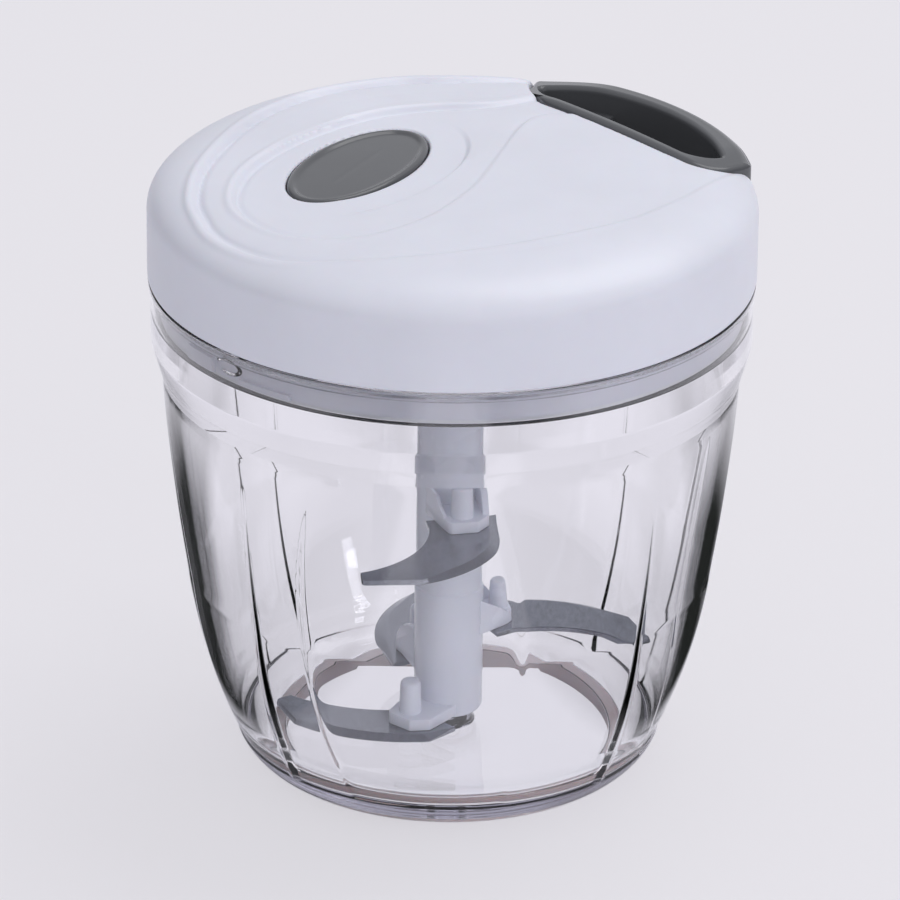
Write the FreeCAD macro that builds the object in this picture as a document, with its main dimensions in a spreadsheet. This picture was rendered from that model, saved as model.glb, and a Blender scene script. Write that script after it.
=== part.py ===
"""Pull-string food chopper, in millimetres, +Z up, origin at the middle of the foot on the table.

A clear bowl with a pin in its floor carries a bladed rotor. The lid holds the string's reel, its
recoil spring and the drive hub that turns the rotor, and nests the pull handle in a side pocket.
"""
import FreeCAD, Part
import math
import os

import Sketcher
from FreeCAD import Placement, Rotation, Vector

UP = Vector(0, 0, 1)

SIZES = [
    # Bowl, outside, from the foot up
    ("foot_rounding", 6.5, "foot's flat edge inside the bottom of the panels"),
    ("foot_gap", 0.6, "height of the bowl's own foot above the table"),
    ("foot_curve_inset", 1.7, "point on the foot's curve, inside the bottom of the panels"),
    ("foot_curve_height", 4.0, "its height"),
    ("panel_foot_inset", 15.7, "bottom of the wall panels inside the waist"),
    ("panel_foot_height", 7.1, "its height"),
    ("lower_inset", 9.75, "point on the lower wall, inside the waist"),
    ("lower_height", 22.4, "its height"),
    ("belly_inset", 4.7, "point on the wall, inside the waist"),
    ("belly_height", 45.4, "its height"),
    ("upper_inset", 1.7, "point on the upper wall, inside the waist"),
    ("upper_height", 68.0, "its height"),
    ("waist_inset", 2.4, "waist inside the neck band"),
    ("neck_slope", 8.5, "waist below the neck band"),
    ("neck_inset", 0.5, "neck band inside the rim flange"),
    ("neck_band", 13.9, "neck band, from its lower edge to the rim"),
    ("flange_inset", 0.1, "rim flange inside the lid shell"),
    ("flange_thickness", 1.9, "rim flange"),
    ("bowl_height", 112.4, "top of the rim"),
    # Bowl, inside
    ("bowl_wall", 3.0, "wall thickness"),
    ("floor_inset", 6.6, "flat floor inside the bottom of the panels"),
    ("floor_height", 6.5, "floor above the table"),
    ("floor_thickness", 3.1, "bowl floor"),
    ("corner_inset", 2.0, "point on the floor's corner curve, inside the bottom of the panels"),
    ("corner_rise", 2.5, "its height above the floor"),
    ("wall_start_rise", 7.5, "end of the corner curve above the floor"),
    ("wall_middle_height", 28.0, "point on the inner wall above it"),
    ("inner_flare", 0.75, "inner wall moves out above the waist"),
    ("inner_flare_rise", 3.0, "over this height"),
    ("socket_depth", 8.2, "from the rim down to the ledge under the lid's skirt"),
    ("ledge_width", 2.1, "ledge"),
    ("socket_wall", 2.5, "wall round the bore that takes the lid's skirt"),
    # Bowl, panels and ribs
    ("panel_depth", 0.3, "pressed panels"),
    ("panel_top_rise", 1.5, "top edge of a panel above the waist"),
    ("panel_foot_left", 17.0, "half width at the foot, left"),
    ("panel_foot_right", 15.5, "half width at the foot, right"),
    ("panel_side_left", 27.6, "half width at its middle, left"),
    ("panel_side_right", 20.6, "half width at its middle, right"),
    ("panel_side_height", 48.0, "height of that middle"),
    ("panel_tip_left", 24.3, "left end of the top edge"),
    ("panel_tip_right", 9.0, "right end of the top edge"),
    ("panel_shoulder", 7.2, "rounding of the right end, across"),
    ("panel_shoulder_drop", 9.0, "rounding of the right end, down"),
    ("panel_lean", -4.0, "turn of the panels about the axis, degrees"),
    ("rib_height", 0.7, "sharp ribs between the panels"),
    ("rib_half_width", 1.9, "at the foot"),
    ("rib_drop", 9.0, "point where a rib runs out, below the waist"),
    # Pivot and foot ring
    ("pin_radius", 2.5, "steel pivot pin"),
    ("pin_top", 26.0, "its upper end"),
    ("pin_boss_radius", 5.5, "boss round the pin"),
    ("pin_boss_rise", 2.8, "top of the boss above the floor"),
    ("pin_cover", 0.6, "bowl floor under the pin"),
    ("ring_width", 2.8, "antislip ring"),
    ("ring_inset", 1.1, "antislip ring inside the foot's edge"),
    ("ring_height", 4.0, "antislip ring"),
    # Bayonet between lid and bowl
    ("bayonet_azimuth", 221.4, "middle of the first bowl lug, degrees"),
    ("bump_length", 6.8, "bowl lug, along the rim"),
    ("bump_height", 2.3, "bowl lug"),
    ("bump_depth", 0.95, "its reach into the socket"),
    ("bar_angle", 12.5, "lid bar, degrees"),
    ("bar_gap_angle", 3.8, "from the lug's middle to the bar, degrees"),
    ("bar_height", 1.2, "lid bar"),
    ("lock_gap", 0.2, "between a bar and the lug above it"),
    ("stop_angle", 8.5, "lid stop, degrees"),
    ("stop_height", 3.2, "lid stop"),
    # Lid, outside
    ("lid_radius", 65.0, "lid shell"),
    ("lid_gap", 0.3, "between the shell and the bowl's rim"),
    ("lid_side", 14.4, "straight side of the shell"),
    ("shoulder_width", 19.0, "rounded shoulder"),
    ("shoulder_rise", 8.7, "rounded shoulder"),
    ("dome_rise", 1.5, "dome above the shoulder"),
    ("lid_side_wall", 2.3, "shell"),
    ("lid_top_wall", 3.2, "shell"),
    ("relief_outer_depth", 0.6, "first step of the top"),
    ("relief_inner_depth", 1.1, "second step of the top"),
    ("dish_depth", 2.0, "flat dish round the button, below the dome's centre"),
    ("dish_length", 63.0, "dish round the button"),
    ("dish_width", 42.0, "dish round the button"),
    ("relief_unit", 65.0, "lid radius for which the relief's outlines are drawn"),
    # Lid, underside
    ("base_thickness", 2.4, "lid base plate"),
    ("base_rise", 0.4, "its underside above the bowl's ledge"),
    ("skirt_gap", 1.3, "lid skirt inside the bowl's socket"),
    ("skirt_wall", 2.4, "lid skirt"),
    ("collar_thickness", 1.5, "collar inside the shell"),
    ("collar_gap", 0.1, "between the collar and the bowl's rim"),
    ("lock_band", 8.0, "height of the band that carries the bars"),
    ("bearing_wall", 3.4, "bearing for the drive hub"),
    ("bearing_drop", 3.6, "its lower end below the plate"),
    ("seal_width", 2.6, "flat gasket"),
    ("seal_thickness", 0.8, "flat gasket"),
    ("seal_margin", 0.2, "gasket inside the skirt's outer face"),
    ("seal_fit", 0.1, "gasket round the plate"),
    ("seal_rest_gap", 0.25, "gasket above the ledge before the lid is locked"),
    ("screw_edge", 10.6, "screws inside the skirt"),
    ("screw_radius", 1.45, "thread"),
    ("screw_head_radius", 2.9, "screw head"),
    ("screw_head_height", 1.5, "screw head"),
    ("screw_length", 12.0, "under the head"),
    ("screw_clearance", 0.15, "hole in the base plate"),
    ("sink_clearance", 0.3, "sink round the screw head"),
    ("screw_inset", 0.1, "screw head above the plate's underside"),
    ("post_radius", 3.6, "screw posts of the shell"),
    ("ceiling_overlap", 1.0, "posts, boss and well run this far into the shell"),
    # Handle, along its own axis
    ("handle_azimuth", 42.0, "direction of the pull, degrees"),
    ("handle_depth", 23.5, "from the shell's side to the straight inner edge"),
    ("handle_drop", 3.7, "underside below the string's run"),
    ("handle_left", 34.5, "left end"),
    ("handle_right", 34.6, "right end"),
    ("handle_right_corner", 6.6, "rounding of the right inner corner"),
    ("handle_left_corner", 17.5, "left inner corner, along the inner edge"),
    ("handle_left_reach", 14.5, "left inner corner, along the end"),
    ("handle_rounding", 2.4, "rounding of its outer edge, down"),
    ("handle_rounding_width", 2.8, "rounding of its outer edge, across"),
    ("handle_rim_drop", 1.5, "top of the rounding below the shell's shoulder"),
    ("handle_wall", 3.3, "between inner edge and finger well"),
    ("well_rim", 5.4, "between finger well and the shell's side"),
    ("well_floor_thickness", 1.9, "under the finger well"),
    ("well_left", 27.0, "finger well, left end"),
    ("well_right", 29.0, "finger well, right end"),
    ("well_corner", 6.0, "finger well, corners"),
    ("well_step", 12.0, "shallow left end of the finger well, from the middle"),
    ("well_step_height", 8.6, "its floor above the well's"),
    ("knot_wall", 1.6, "handle wall that the knot bears on"),
    ("pocket_gap", 0.3, "round the handle"),
    ("pocket_wall", 2.0, "pocket in the shell"),
    # Button
    ("button_x", -20.2, "button centre"),
    ("button_y", 3.3, "button centre"),
    ("button_angle", 61.0, "direction of its long axis, degrees"),
    ("button_length", 44.4, "button"),
    ("button_width", 23.6, "button"),
    ("button_drop", 1.5, "top of the button below the dome"),
    ("button_gap", 0.3, "round the button"),
    ("button_travel", 2.5, "stroke"),
    ("button_stop_gap", 0.2, "under the button at full stroke"),
    ("button_wall", 1.6, "button's rim"),
    ("button_ceiling", 1.4, "recess under the button"),
    ("button_floor_thickness", 1.2, "button well's floor"),
    ("button_well_wall", 1.5, "wall round the button"),
    ("reel_headroom", 0.8, "button well above the reel"),
    ("brake_gap", 0.6, "window round the rubber pad"),
    ("brake_radius", 4.0, "rubber pad"),
    ("button_spring_radius", 2.2, "outside"),
    ("button_spring_wall", 0.5, "wire"),
    ("button_spring_offset", 14.0, "springs from the button's centre"),
    # String and reel
    ("string_radius", 0.9, "braided string"),
    ("string_gap", 0.2, "between the stored turns and the flanges"),
    ("string_turns", 4.0, "turns stored on the drum"),
    ("drum_radius", 15.0, "reel core"),
    ("drum_flange_radius", 24.0, "upper flange"),
    ("flange_plate", 1.2, "reel flanges"),
    ("cup_radius", 29.0, "spring cup, outside"),
    ("cup_wall", 1.6, "spring cup"),
    ("cup_depth", 6.8, "spring cup"),
    ("cup_floor_thickness", 1.4, "between cup and drum"),
    ("cup_rise", 5.6, "open edge of the cup above the base plate's underside"),
    ("spring_cover_thickness", 1.2, "disc under the cup"),
    ("axle_radius", 3.0, "steel axle"),
    ("axle_cover", 4.8, "shell above the axle's end"),
    ("boss_gap", 0.4, "between the axle's boss and the reel"),
    ("axle_boss_radius", 6.5, "boss in the shell"),
    ("arbor_radius", 5.6, "spring core"),
    ("washer_radius", 5.0, "under the arbor"),
    ("washer_thickness", 0.5, "under the arbor"),
    ("axle_screw_radius", 1.25, "thread"),
    ("axle_screw_length", 6.0, "under the head"),
    ("axle_screw_head_radius", 2.4, "head"),
    ("axle_screw_head_height", 1.7, "head"),
    ("strip_thickness", 0.4, "recoil spring strip"),
    ("strip_pitch", 1.6, "from turn to turn"),
    ("guide_bore", 1.1, "string guide"),
    ("guide_radius", 2.0, "string guide"),
    ("guide_flange_radius", 3.0, "string guide"),
    ("guide_flange", 0.8, "string guide"),
    ("knot_radius", 2.2, "knot in the handle"),
    ("knot_gap", 0.3, "round the knot"),
    # Drive between reel and rotor
    ("hub_radius", 9.2, "drive hub"),
    ("dog_engagement", 8.6, "drive hub reaches this far down round the rotor head"),
    ("hub_wall", 2.45, "socket"),
    ("hub_flange_width", 3.3, "inside the spring cup"),
    ("hub_flange", 0.8, "inside the spring cup"),
    ("hub_web", 2.0, "closed top of the socket"),
    ("dog_angle", 24.0, "each driving dog, degrees"),
    ("head_radius", 5.0, "rotor head"),
    ("head_drop", 2.0, "rotor head below the base plate's underside"),
    ("head_gap", 0.7, "above the rotor head"),
    ("dog_gap", 0.2, "dogs to the part that they turn in"),
    # Rotor
    ("shaft_radius", 7.5, "lower tube"),
    ("shaft_upper_radius", 7.2, "upper tube"),
    ("shaft_step", 39.2, "height of the step in the tube"),
    ("shaft_shoulder", 1.6, "cone between tube and head"),
    ("shaft_lip", 1.0, "rounding of its lower end"),
    ("shaft_bore", 3.4, "hollow from the top"),
    ("shaft_bore_bottom", 34.0, "hollow from the top"),
    ("pin_headroom", 0.6, "above the pivot pin"),
    ("arm_end", 16.4, "holder plate, from the axis"),
    ("arm_root", 4.3, "inner end of the plate, inside the tube's wall"),
    ("arm_root_half", 6.3, "half width there, on the blade's swept side"),
    ("arm_back", 3.5, "plate's end from the peg's line, on the blade's swept side"),
    ("arm_front", 6.0, "plate from the peg's line, on the other side"),
    ("arm_thickness", 2.6, "holder plate"),
    ("arm_chamfer", 3.2, "outer corner of the plate"),
    ("web_height", 5.6, "webs above the plate, at the tube"),
    ("web_thickness", 1.6, "rounded web"),
    ("thin_web", 0.9, "straight web on the swept side"),
    ("thin_web_lean", 13.0, "its turn from the arm's direction, degrees"),
    ("thin_web_offset", 7.1, "its outer face from the axis"),
    ("thin_web_root", 3.0, "its inner end"),
    ("thin_web_end", 11.9, "its outer end"),
    ("peg_distance", 12.8, "peg from the axis"),
    ("peg_radius", 2.5, "peg"),
    ("peg_height", 7.0, "peg above the plate"),
    ("peg_rounding", 1.1, "peg's top edge"),
    ("peg_taper", 0.3, "peg's top is this much thinner, in radius"),
    ("peg_shank_radius", 1.75, "through plate and blade"),
    ("peg_foot_radius", 2.6, "closed end under the blade"),
    ("peg_foot_height", 0.8, "closed end under the blade"),
    ("blade_thickness", 1.0, "steel"),
    ("blade_root_gap", 0.8, "blade's root from the tube"),
    ("blade_root_front", 9.0, "blade's root from the peg's line, outer side"),
    ("blade_root_back", 7.0, "blade's root, swept side"),
    ("blade_shoulder", 18.5, "where the outer edge turns"),
    ("blade_shoulder_width", 7.9, "outer edge there"),
    ("blade_inner_corner", 12.0, "where the inner edge starts to sweep"),
    ("blade_drop", 26.2, "blade's tip, back from the peg's line"),
    ("blade_end_gap", 12.15, "blade's end from the bowl's lower wall"),
    ("bottom_blade_gap", 8.3, "lowest blade's reach inside the flat floor"),
    ("bottom_blade_turn", -15.0, "its swept part turned back, degrees"),
    ("blade_top_azimuth", -78.0, "degrees"),
    ("blade_top_height", 52.5, "top face of the blade above the floor"),
    ("blade_right_azimuth", 29.0, "degrees"),
    ("blade_right_height", 21.5, "top face of the blade above the floor"),
    ("blade_back_azimuth", 119.0, "degrees"),
    ("blade_back_height", 12.0, "top face of the blade above the floor"),
    ("blade_bottom_azimuth", -129.5, "degrees"),
    ("blade_bottom_height", 3.7, "top face of the blade above the floor"),
    # Clearances
    ("running_gap", 0.05, "turning fits, radial"),
    ("face_gap", 0.3, "between faces that pass each other"),
    ("cut_margin", 1.0, "tools reach this far past what they cut"),
]

doc = FreeCAD.newDocument("string_chopper")
sheet = doc.addObject("Spreadsheet::Sheet", "Sizes")
for row, (alias, number, meaning) in enumerate(SIZES, start=1):
    sheet.set("A%d" % row, alias)
    sheet.set("B%d" % row, str(number))
    sheet.set("C%d" % row, meaning)
    sheet.setAlias("B%d" % row, alias)
doc.recompute()


class Size:
    """A length that knows the spreadsheet formula it comes from."""

    def __init__(self, value, formula=None):
        self.value = float(value)
        self.formula = formula or repr(float(value))

    def joined(self, sign, other, value):
        return Size(value, "(%s %s %s)" % (self.formula, sign, other.formula))

    def __add__(self, other):
        other = as_size(other)
        return self.joined("+", other, self.value + other.value)

    def __sub__(self, other):
        other = as_size(other)
        return self.joined("-", other, self.value - other.value)

    def __mul__(self, other):
        other = as_size(other)
        return self.joined("*", other, self.value * other.value)

    def __truediv__(self, other):
        other = as_size(other)
        return self.joined("/", other, self.value / other.value)

    def __neg__(self):
        return Size(0) - self

    def cos(self):
        return Size(math.cos(math.radians(self.value)), "cos(%s)" % self.formula)

    def sin(self):
        return Size(math.sin(math.radians(self.value)), "sin(%s)" % self.formula)


def as_size(number):
    return number if isinstance(number, Size) else Size(number)


class Cells:
    """Reads a cell of the sheet by its alias."""

    def __getattr__(self, alias):
        return Size(sheet.get(alias), "Sizes.%s" % alias)


size = Cells()
ZERO = Size(0)

# A quarter circle's middle point: this share along one leg, and the rest of it short of the corner
SIN_45 = math.sin(math.radians(45))
BULGE_45 = 1 - SIN_45

# Radii that follow from the lid's, from the rim down and inwards
flange_radius = size.lid_radius - size.flange_inset
neck_radius = flange_radius - size.neck_inset
waist_radius = neck_radius - size.waist_inset
upper_radius = waist_radius - size.upper_inset
belly_radius = waist_radius - size.belly_inset
lower_radius = waist_radius - size.lower_inset
panel_foot_radius = waist_radius - size.panel_foot_inset
foot_curve_radius = panel_foot_radius - size.foot_curve_inset
foot_radius = panel_foot_radius - size.foot_rounding
ring_outer_radius = foot_radius - size.ring_inset
ring_inner_radius = ring_outer_radius - size.ring_width
floor_radius = panel_foot_radius - size.floor_inset
corner_radius = panel_foot_radius - size.corner_inset
socket_radius = neck_radius - size.socket_wall
ledge_radius = socket_radius - size.ledge_width
skirt_outer_radius = socket_radius - size.skirt_gap
seal_inner_radius = skirt_outer_radius - size.seal_margin - size.seal_width
screw_circle = skirt_outer_radius - size.screw_edge
shoulder_radius = size.lid_radius - size.shoulder_width
handle_inner = size.lid_radius - size.handle_depth
handle_rim_radius = size.lid_radius - size.handle_rounding_width
well_inner = handle_inner + size.handle_wall
well_radius = size.lid_radius - size.well_rim
# The knot bears on the handle at this distance from the axis
knot_seat = well_inner - size.knot_wall
hub_bore = size.hub_radius - size.hub_wall
hub_flange_radius = size.hub_radius + size.hub_flange_width

# Heights in the bowl
corner_height = size.floor_height + size.corner_rise
wall_start_height = size.floor_height + size.wall_start_rise
pin_boss_top = size.floor_height + size.pin_boss_rise
neck_height = size.bowl_height - size.neck_band
waist_height = neck_height - size.neck_slope
panel_top = waist_height + size.panel_top_rise
rib_top = waist_height - size.rib_drop
ledge_height = size.bowl_height - size.socket_depth

# Heights in the lid. The skirt stands on the gasket, which lies on the bowl's ledge
skirt_bottom = ledge_height + size.seal_rest_gap + size.seal_thickness + size.running_gap
base_bottom = ledge_height + size.base_rise
bearing_bottom = base_bottom - size.bearing_drop
head_top = base_bottom - size.head_drop
hub_bottom = head_top - size.dog_engagement
cup_bottom = base_bottom + size.cup_rise
cup_floor = cup_bottom + size.cup_depth
drum_bottom = cup_floor + size.cup_floor_thickness
string_half_height = size.string_radius * size.string_turns
string_level = drum_bottom + size.string_gap + string_half_height
drum_top = string_level + string_half_height + size.string_gap
reel_top = drum_top + size.flange_plate
lid_side_top = size.bowl_height + size.lid_gap + size.lid_side
shoulder_height = lid_side_top + size.shoulder_rise
lid_height = shoulder_height + size.dome_rise
axle_top = shoulder_height - size.axle_cover
button_well_bottom = reel_top + size.reel_headroom
button_floor = button_well_bottom + size.button_floor_thickness
button_bottom = button_floor + size.button_travel + size.button_stop_gap
handle_bottom = string_level - size.handle_drop
well_floor = handle_bottom + size.well_floor_thickness
handle_rim_height = shoulder_height - size.handle_rim_drop
handle_shoulder = handle_rim_height - size.handle_rounding


def bind(thing, prop, length):
    """Set a property and tie it to the sheet."""
    length = as_size(length)
    thing.setExpression(prop, length.formula)


def place(thing, z=ZERO, azimuth=ZERO, x=ZERO, y=ZERO):
    """Stand a piece at a height and turn it about the vertical."""
    x, y, z, azimuth = (as_size(value) for value in (x, y, z, azimuth))
    turn = Rotation(UP, azimuth.value)
    thing.Placement = Placement(Vector(x.value, y.value, z.value), turn)
    for axis, length in (("x", x), ("y", y), ("z", z)):
        bind(thing, "Placement.Base.%s" % axis, length)
    if azimuth.value:
        bind(thing, "Placement.Rotation.Angle", azimuth)
    return thing


def fix_point(sketch, geometry, end, x, y):
    """Tie one point of a sketch to the sheet."""
    for kind, length, axis in (("DistanceX", x, -2), ("DistanceY", y, -1)):
        if abs(length.value) < 1e-9:
            sketch.addConstraint(Sketcher.Constraint("PointOnObject", geometry, end, axis))
            continue
        if length.value > 0:
            constraint = Sketcher.Constraint(kind, -1, 1, geometry, end, length.value)
        else:
            length = -length
            constraint = Sketcher.Constraint(kind, geometry, end, -1, 1, length.value)
        index = sketch.addConstraint(constraint)
        sketch.setExpression("Constraints[%d]" % index, length.formula)


def draw(sketch, corners):
    """Closed outline. A corner is (x, y), or (x, y, via_x, via_y) where an arc arrives at it."""
    corners = [tuple(as_size(value) for value in corner) for corner in corners]
    starts, ends = [], []
    for index, corner in enumerate(corners):
        before = corners[index - 1]
        start = Vector(before[0].value, before[1].value, 0)
        end = Vector(corner[0].value, corner[1].value, 0)
        if len(corner) == 2:
            geometry = sketch.addGeometry(Part.LineSegment(start, end), False)
            starts.append((geometry, 1))
            ends.append((geometry, 2))
            continue
        via = Vector(corner[2].value, corner[3].value, 0)
        turns_left = (via - start).cross(end - via).z > 0
        arc = Part.Arc(start, via, end) if turns_left else Part.Arc(end, via, start)
        geometry = sketch.addGeometry(arc, False)
        starts.append((geometry, 1 if turns_left else 2))
        ends.append((geometry, 2 if turns_left else 1))
        helper = sketch.addGeometry(Part.Point(via), True)
        fix_point(sketch, helper, 1, corner[2], corner[3])
        sketch.addConstraint(Sketcher.Constraint("PointOnObject", helper, 1, geometry))
    for index, corner in enumerate(corners):
        following = (index + 1) % len(corners)
        sketch.addConstraint(Sketcher.Constraint("Coincident", *ends[index], *starts[following]))
        fix_point(sketch, *ends[index], corner[0], corner[1])


def new_sketch(body, name, role, offset=ZERO):
    """Sketch on one of the body's own planes, shifted along the plane's normal."""
    plane = next(feature for feature in body.Origin.OriginFeatures if feature.Role == role)
    sketch = body.newObject("Sketcher::SketchObject", name)
    sketch.AttachmentSupport = [(plane, "")]
    sketch.MapMode = "FlatFace"
    bind(sketch, "AttachmentOffset.Base.z", offset)
    return sketch


def turned(name, corners):
    """Solid of revolution about Z. Corners are (radius, height)."""
    body = doc.addObject("PartDesign::Body", name)
    sketch = new_sketch(body, name + "_profile", "XZ_Plane")
    draw(sketch, corners)
    turn = body.newObject("PartDesign::Revolution", name + "_turn")
    turn.Profile = sketch
    turn.ReferenceAxis = (sketch, ["V_Axis"])
    turn.Angle = 360
    return body


def slab(name, corners, bottom, height, role="XY_Plane"):
    """Flat piece with an outline, standing up from a level."""
    body = doc.addObject("PartDesign::Body", name)
    sketch = new_sketch(body, name + "_outline", role, bottom)
    draw(sketch, corners)
    pad = body.newObject("PartDesign::Pad", name + "_pad")
    pad.Profile = sketch
    bind(pad, "Length", height)
    return body


def rod(name, radius, bottom, height, x=ZERO, y=ZERO, azimuth=ZERO):
    """Upright cylinder at (x, y) in axes turned about the vertical by azimuth."""
    piece = doc.addObject("Part::Cylinder", name)
    bind(piece, "Radius", radius)
    bind(piece, "Height", height)
    x, y, azimuth = as_size(x), as_size(y), as_size(azimuth)
    across = x * azimuth.cos() - y * azimuth.sin()
    along = x * azimuth.sin() + y * azimuth.cos()
    return place(piece, bottom, x=across, y=along)


def wedge(name, radius, angle, bottom, height, azimuth):
    """Upright slice of a cylinder, its middle at an azimuth."""
    piece = doc.addObject("Part::Cylinder", name)
    bind(piece, "Radius", radius)
    bind(piece, "Height", height)
    bind(piece, "Angle", angle)
    return place(piece, bottom, as_size(azimuth) - angle / 2)


def level_rod(name, radius, start, length, height, azimuth):
    """Cylinder that lies along a direction in plan, from a distance off the axis."""
    piece = doc.addObject("Part::Cylinder", name)
    bind(piece, "Radius", radius)
    bind(piece, "Height", length)
    lay = Rotation(UP, azimuth.value) * Rotation(Vector(0, 1, 0), 90)
    piece.Placement = Placement(Vector(0, 0, 0), lay)
    bind(piece, "Placement.Base.x", start * azimuth.cos())
    bind(piece, "Placement.Base.y", start * azimuth.sin())
    bind(piece, "Placement.Base.z", height)
    return piece


def oval(name, length, width, bottom, height, x=ZERO, y=ZERO, azimuth=ZERO):
    """Upright elliptical block."""
    ring = doc.addObject("Part::Ellipse", name + "_line")
    bind(ring, "MajorRadius", length / 2)
    bind(ring, "MinorRadius", width / 2)
    place(ring, bottom, azimuth, x, y)
    block = doc.addObject("Part::Extrusion", name)
    block.Base = ring
    block.DirMode = "Custom"
    block.Dir = UP
    block.Solid = True
    bind(block, "LengthFwd", height)
    return block


def cut(name, base, tool):
    piece = doc.addObject("Part::Cut", name)
    piece.Base = base
    piece.Tool = tool
    return piece


def fuse(name, pieces):
    piece = doc.addObject("Part::MultiFuse", name)
    piece.Shapes = pieces
    return piece


def common(name, first, second):
    piece = doc.addObject("Part::Common", name)
    piece.Base = first
    piece.Tool = second
    return piece


def group(name, pieces):
    piece = doc.addObject("Part::Compound", name)
    piece.Links = pieces
    return piece


PARTS = []


def finish(piece, label):
    """Name a finished sub-part."""
    piece.Label = label
    PARTS.append(piece)
    return piece


# Bowl

def wall_points(inset):
    """Lower and upper arcs of the wall, moved in by an inset: two corners with their via points."""
    return [
        (belly_radius - inset, size.belly_height, lower_radius - inset, size.lower_height),
        (waist_radius - inset, waist_height, upper_radius - inset, size.upper_height),
    ]


def wall_radius(height):
    """Outer radius of the lower and middle wall at a height, read from its two arcs."""
    knots = [
        (panel_foot_radius, size.panel_foot_height),
        (lower_radius, size.lower_height),
        (belly_radius, size.belly_height),
        (upper_radius, size.upper_height),
        (waist_radius, waist_height),
    ]
    first = 0 if height <= size.belly_height.value else 2
    arc = Part.Arc(*[Vector(radius.value, level.value, 0) for radius, level in knots[first:first + 3]])
    across = Part.LineSegment(Vector(0, height, 0), Vector(knots[-1][0].value * 2, height, 0))
    return arc.intersect(across)[0].X


def outer_wall(name, inset, outward=None):
    """Solid bounded by the bowl's outside, or the space outside it where outward is given."""
    foot = [
        (foot_radius - inset, size.foot_gap),
        (panel_foot_radius - inset, size.panel_foot_height,
         foot_curve_radius - inset, size.foot_curve_height),
    ]
    if outward is None:
        corners = [(ZERO, size.foot_gap)] + foot + wall_points(inset)
        corners += [
            (neck_radius, neck_height),
            (neck_radius, size.bowl_height - size.flange_thickness),
            (flange_radius, size.bowl_height - size.flange_thickness),
            (flange_radius, size.bowl_height),
            (ZERO, size.bowl_height),
        ]
    else:
        corners = foot + wall_points(inset) + [(outward, waist_height), (outward, size.foot_gap)]
    return turned(name, corners)


def bowl_inside():
    wall = size.bowl_wall
    start_radius = Size(wall_radius(wall_start_height.value)) - wall
    lower = wall_points(wall)
    middle = Size(wall_radius(size.wall_middle_height.value)) - wall
    corners = [
        (ZERO, size.floor_height),
        (floor_radius, size.floor_height),
        (start_radius, wall_start_height, corner_radius, corner_height),
        (lower[0][0], lower[0][1], middle, size.wall_middle_height),
        lower[1],
        (lower[1][0] + size.inner_flare, waist_height + size.inner_flare_rise),
        (ledge_radius, ledge_height),
        (socket_radius, ledge_height),
        (socket_radius, size.bowl_height + size.cut_margin),
        (ZERO, size.bowl_height + size.cut_margin),
    ]
    return turned("bowl_hollow", corners)


def panel_tool(index):
    """Space outside one pressed panel: its arched outline, standing off the wall."""
    foot = size.panel_foot_height
    shoulder = size.panel_tip_right + size.panel_shoulder
    outline = [
        (-size.panel_foot_left, foot),
        (-size.panel_tip_left, panel_top, -size.panel_side_left, size.panel_side_height),
        (size.panel_tip_right, panel_top),
        (shoulder, panel_top - size.panel_shoulder_drop,
         size.panel_tip_right + size.panel_shoulder * SIN_45,
         panel_top - size.panel_shoulder_drop * BULGE_45),
        (size.panel_foot_right, foot, size.panel_side_right, size.panel_side_height),
    ]
    ring_outside = flange_radius + 10
    front = slab("panel_outline_%d" % index, outline, corner_radius / 2, ring_outside, "XZ_Plane")
    place(front, azimuth=size.panel_lean + 90 * index)
    ring = outer_wall("panel_ring_%d" % index, size.panel_depth, ring_outside)
    return common("panel_tool_%d" % index, front, ring)


def rib(index):
    """One sharp rib: triangles that shrink to nothing up the wall."""
    levels = 7
    foot = size.panel_foot_height.value
    top = rib_top.value
    sections = []
    for step in range(levels):
        share = step / levels
        height = foot + (top - foot) * share
        fade = 1 - share
        root = wall_radius(height) - size.panel_depth.value
        crest = wall_radius(height) + size.rib_height.value * fade
        half = size.rib_half_width.value * fade
        corners = [Vector(root, -half, height), Vector(crest, 0, height), Vector(root, half, height)]
        sections.append(Part.makePolygon(corners + corners[:1]))
    tip = Vector(wall_radius(top) - size.panel_depth.value, 0, top)
    sections.append(Part.Vertex(tip))
    piece = doc.addObject("Part::Feature", "rib_%d" % index)
    piece.Shape = Part.makeLoft(sections, True, True)
    piece.Placement = Placement(Vector(0, 0, 0), Rotation(UP, 45 + 90 * index))
    return piece


def bayonet_bump(index):
    """Rounded lug on the socket's wall, over which the lid's bar turns."""
    block = doc.addObject("Part::Box", "bump_block_%d" % index)
    depth = size.bump_depth + size.cut_margin
    bind(block, "Length", depth)
    bind(block, "Width", size.bump_length)
    bind(block, "Height", size.bump_height)
    azimuth = size.bayonet_azimuth + 180 * index
    across = (socket_radius - size.bump_depth) * azimuth.cos() + size.bump_length / 2 * azimuth.sin()
    along = (socket_radius - size.bump_depth) * azimuth.sin() - size.bump_length / 2 * azimuth.cos()
    bottom = skirt_bottom + size.bar_height + size.lock_gap
    return place(block, bottom, azimuth, across, along)


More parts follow.
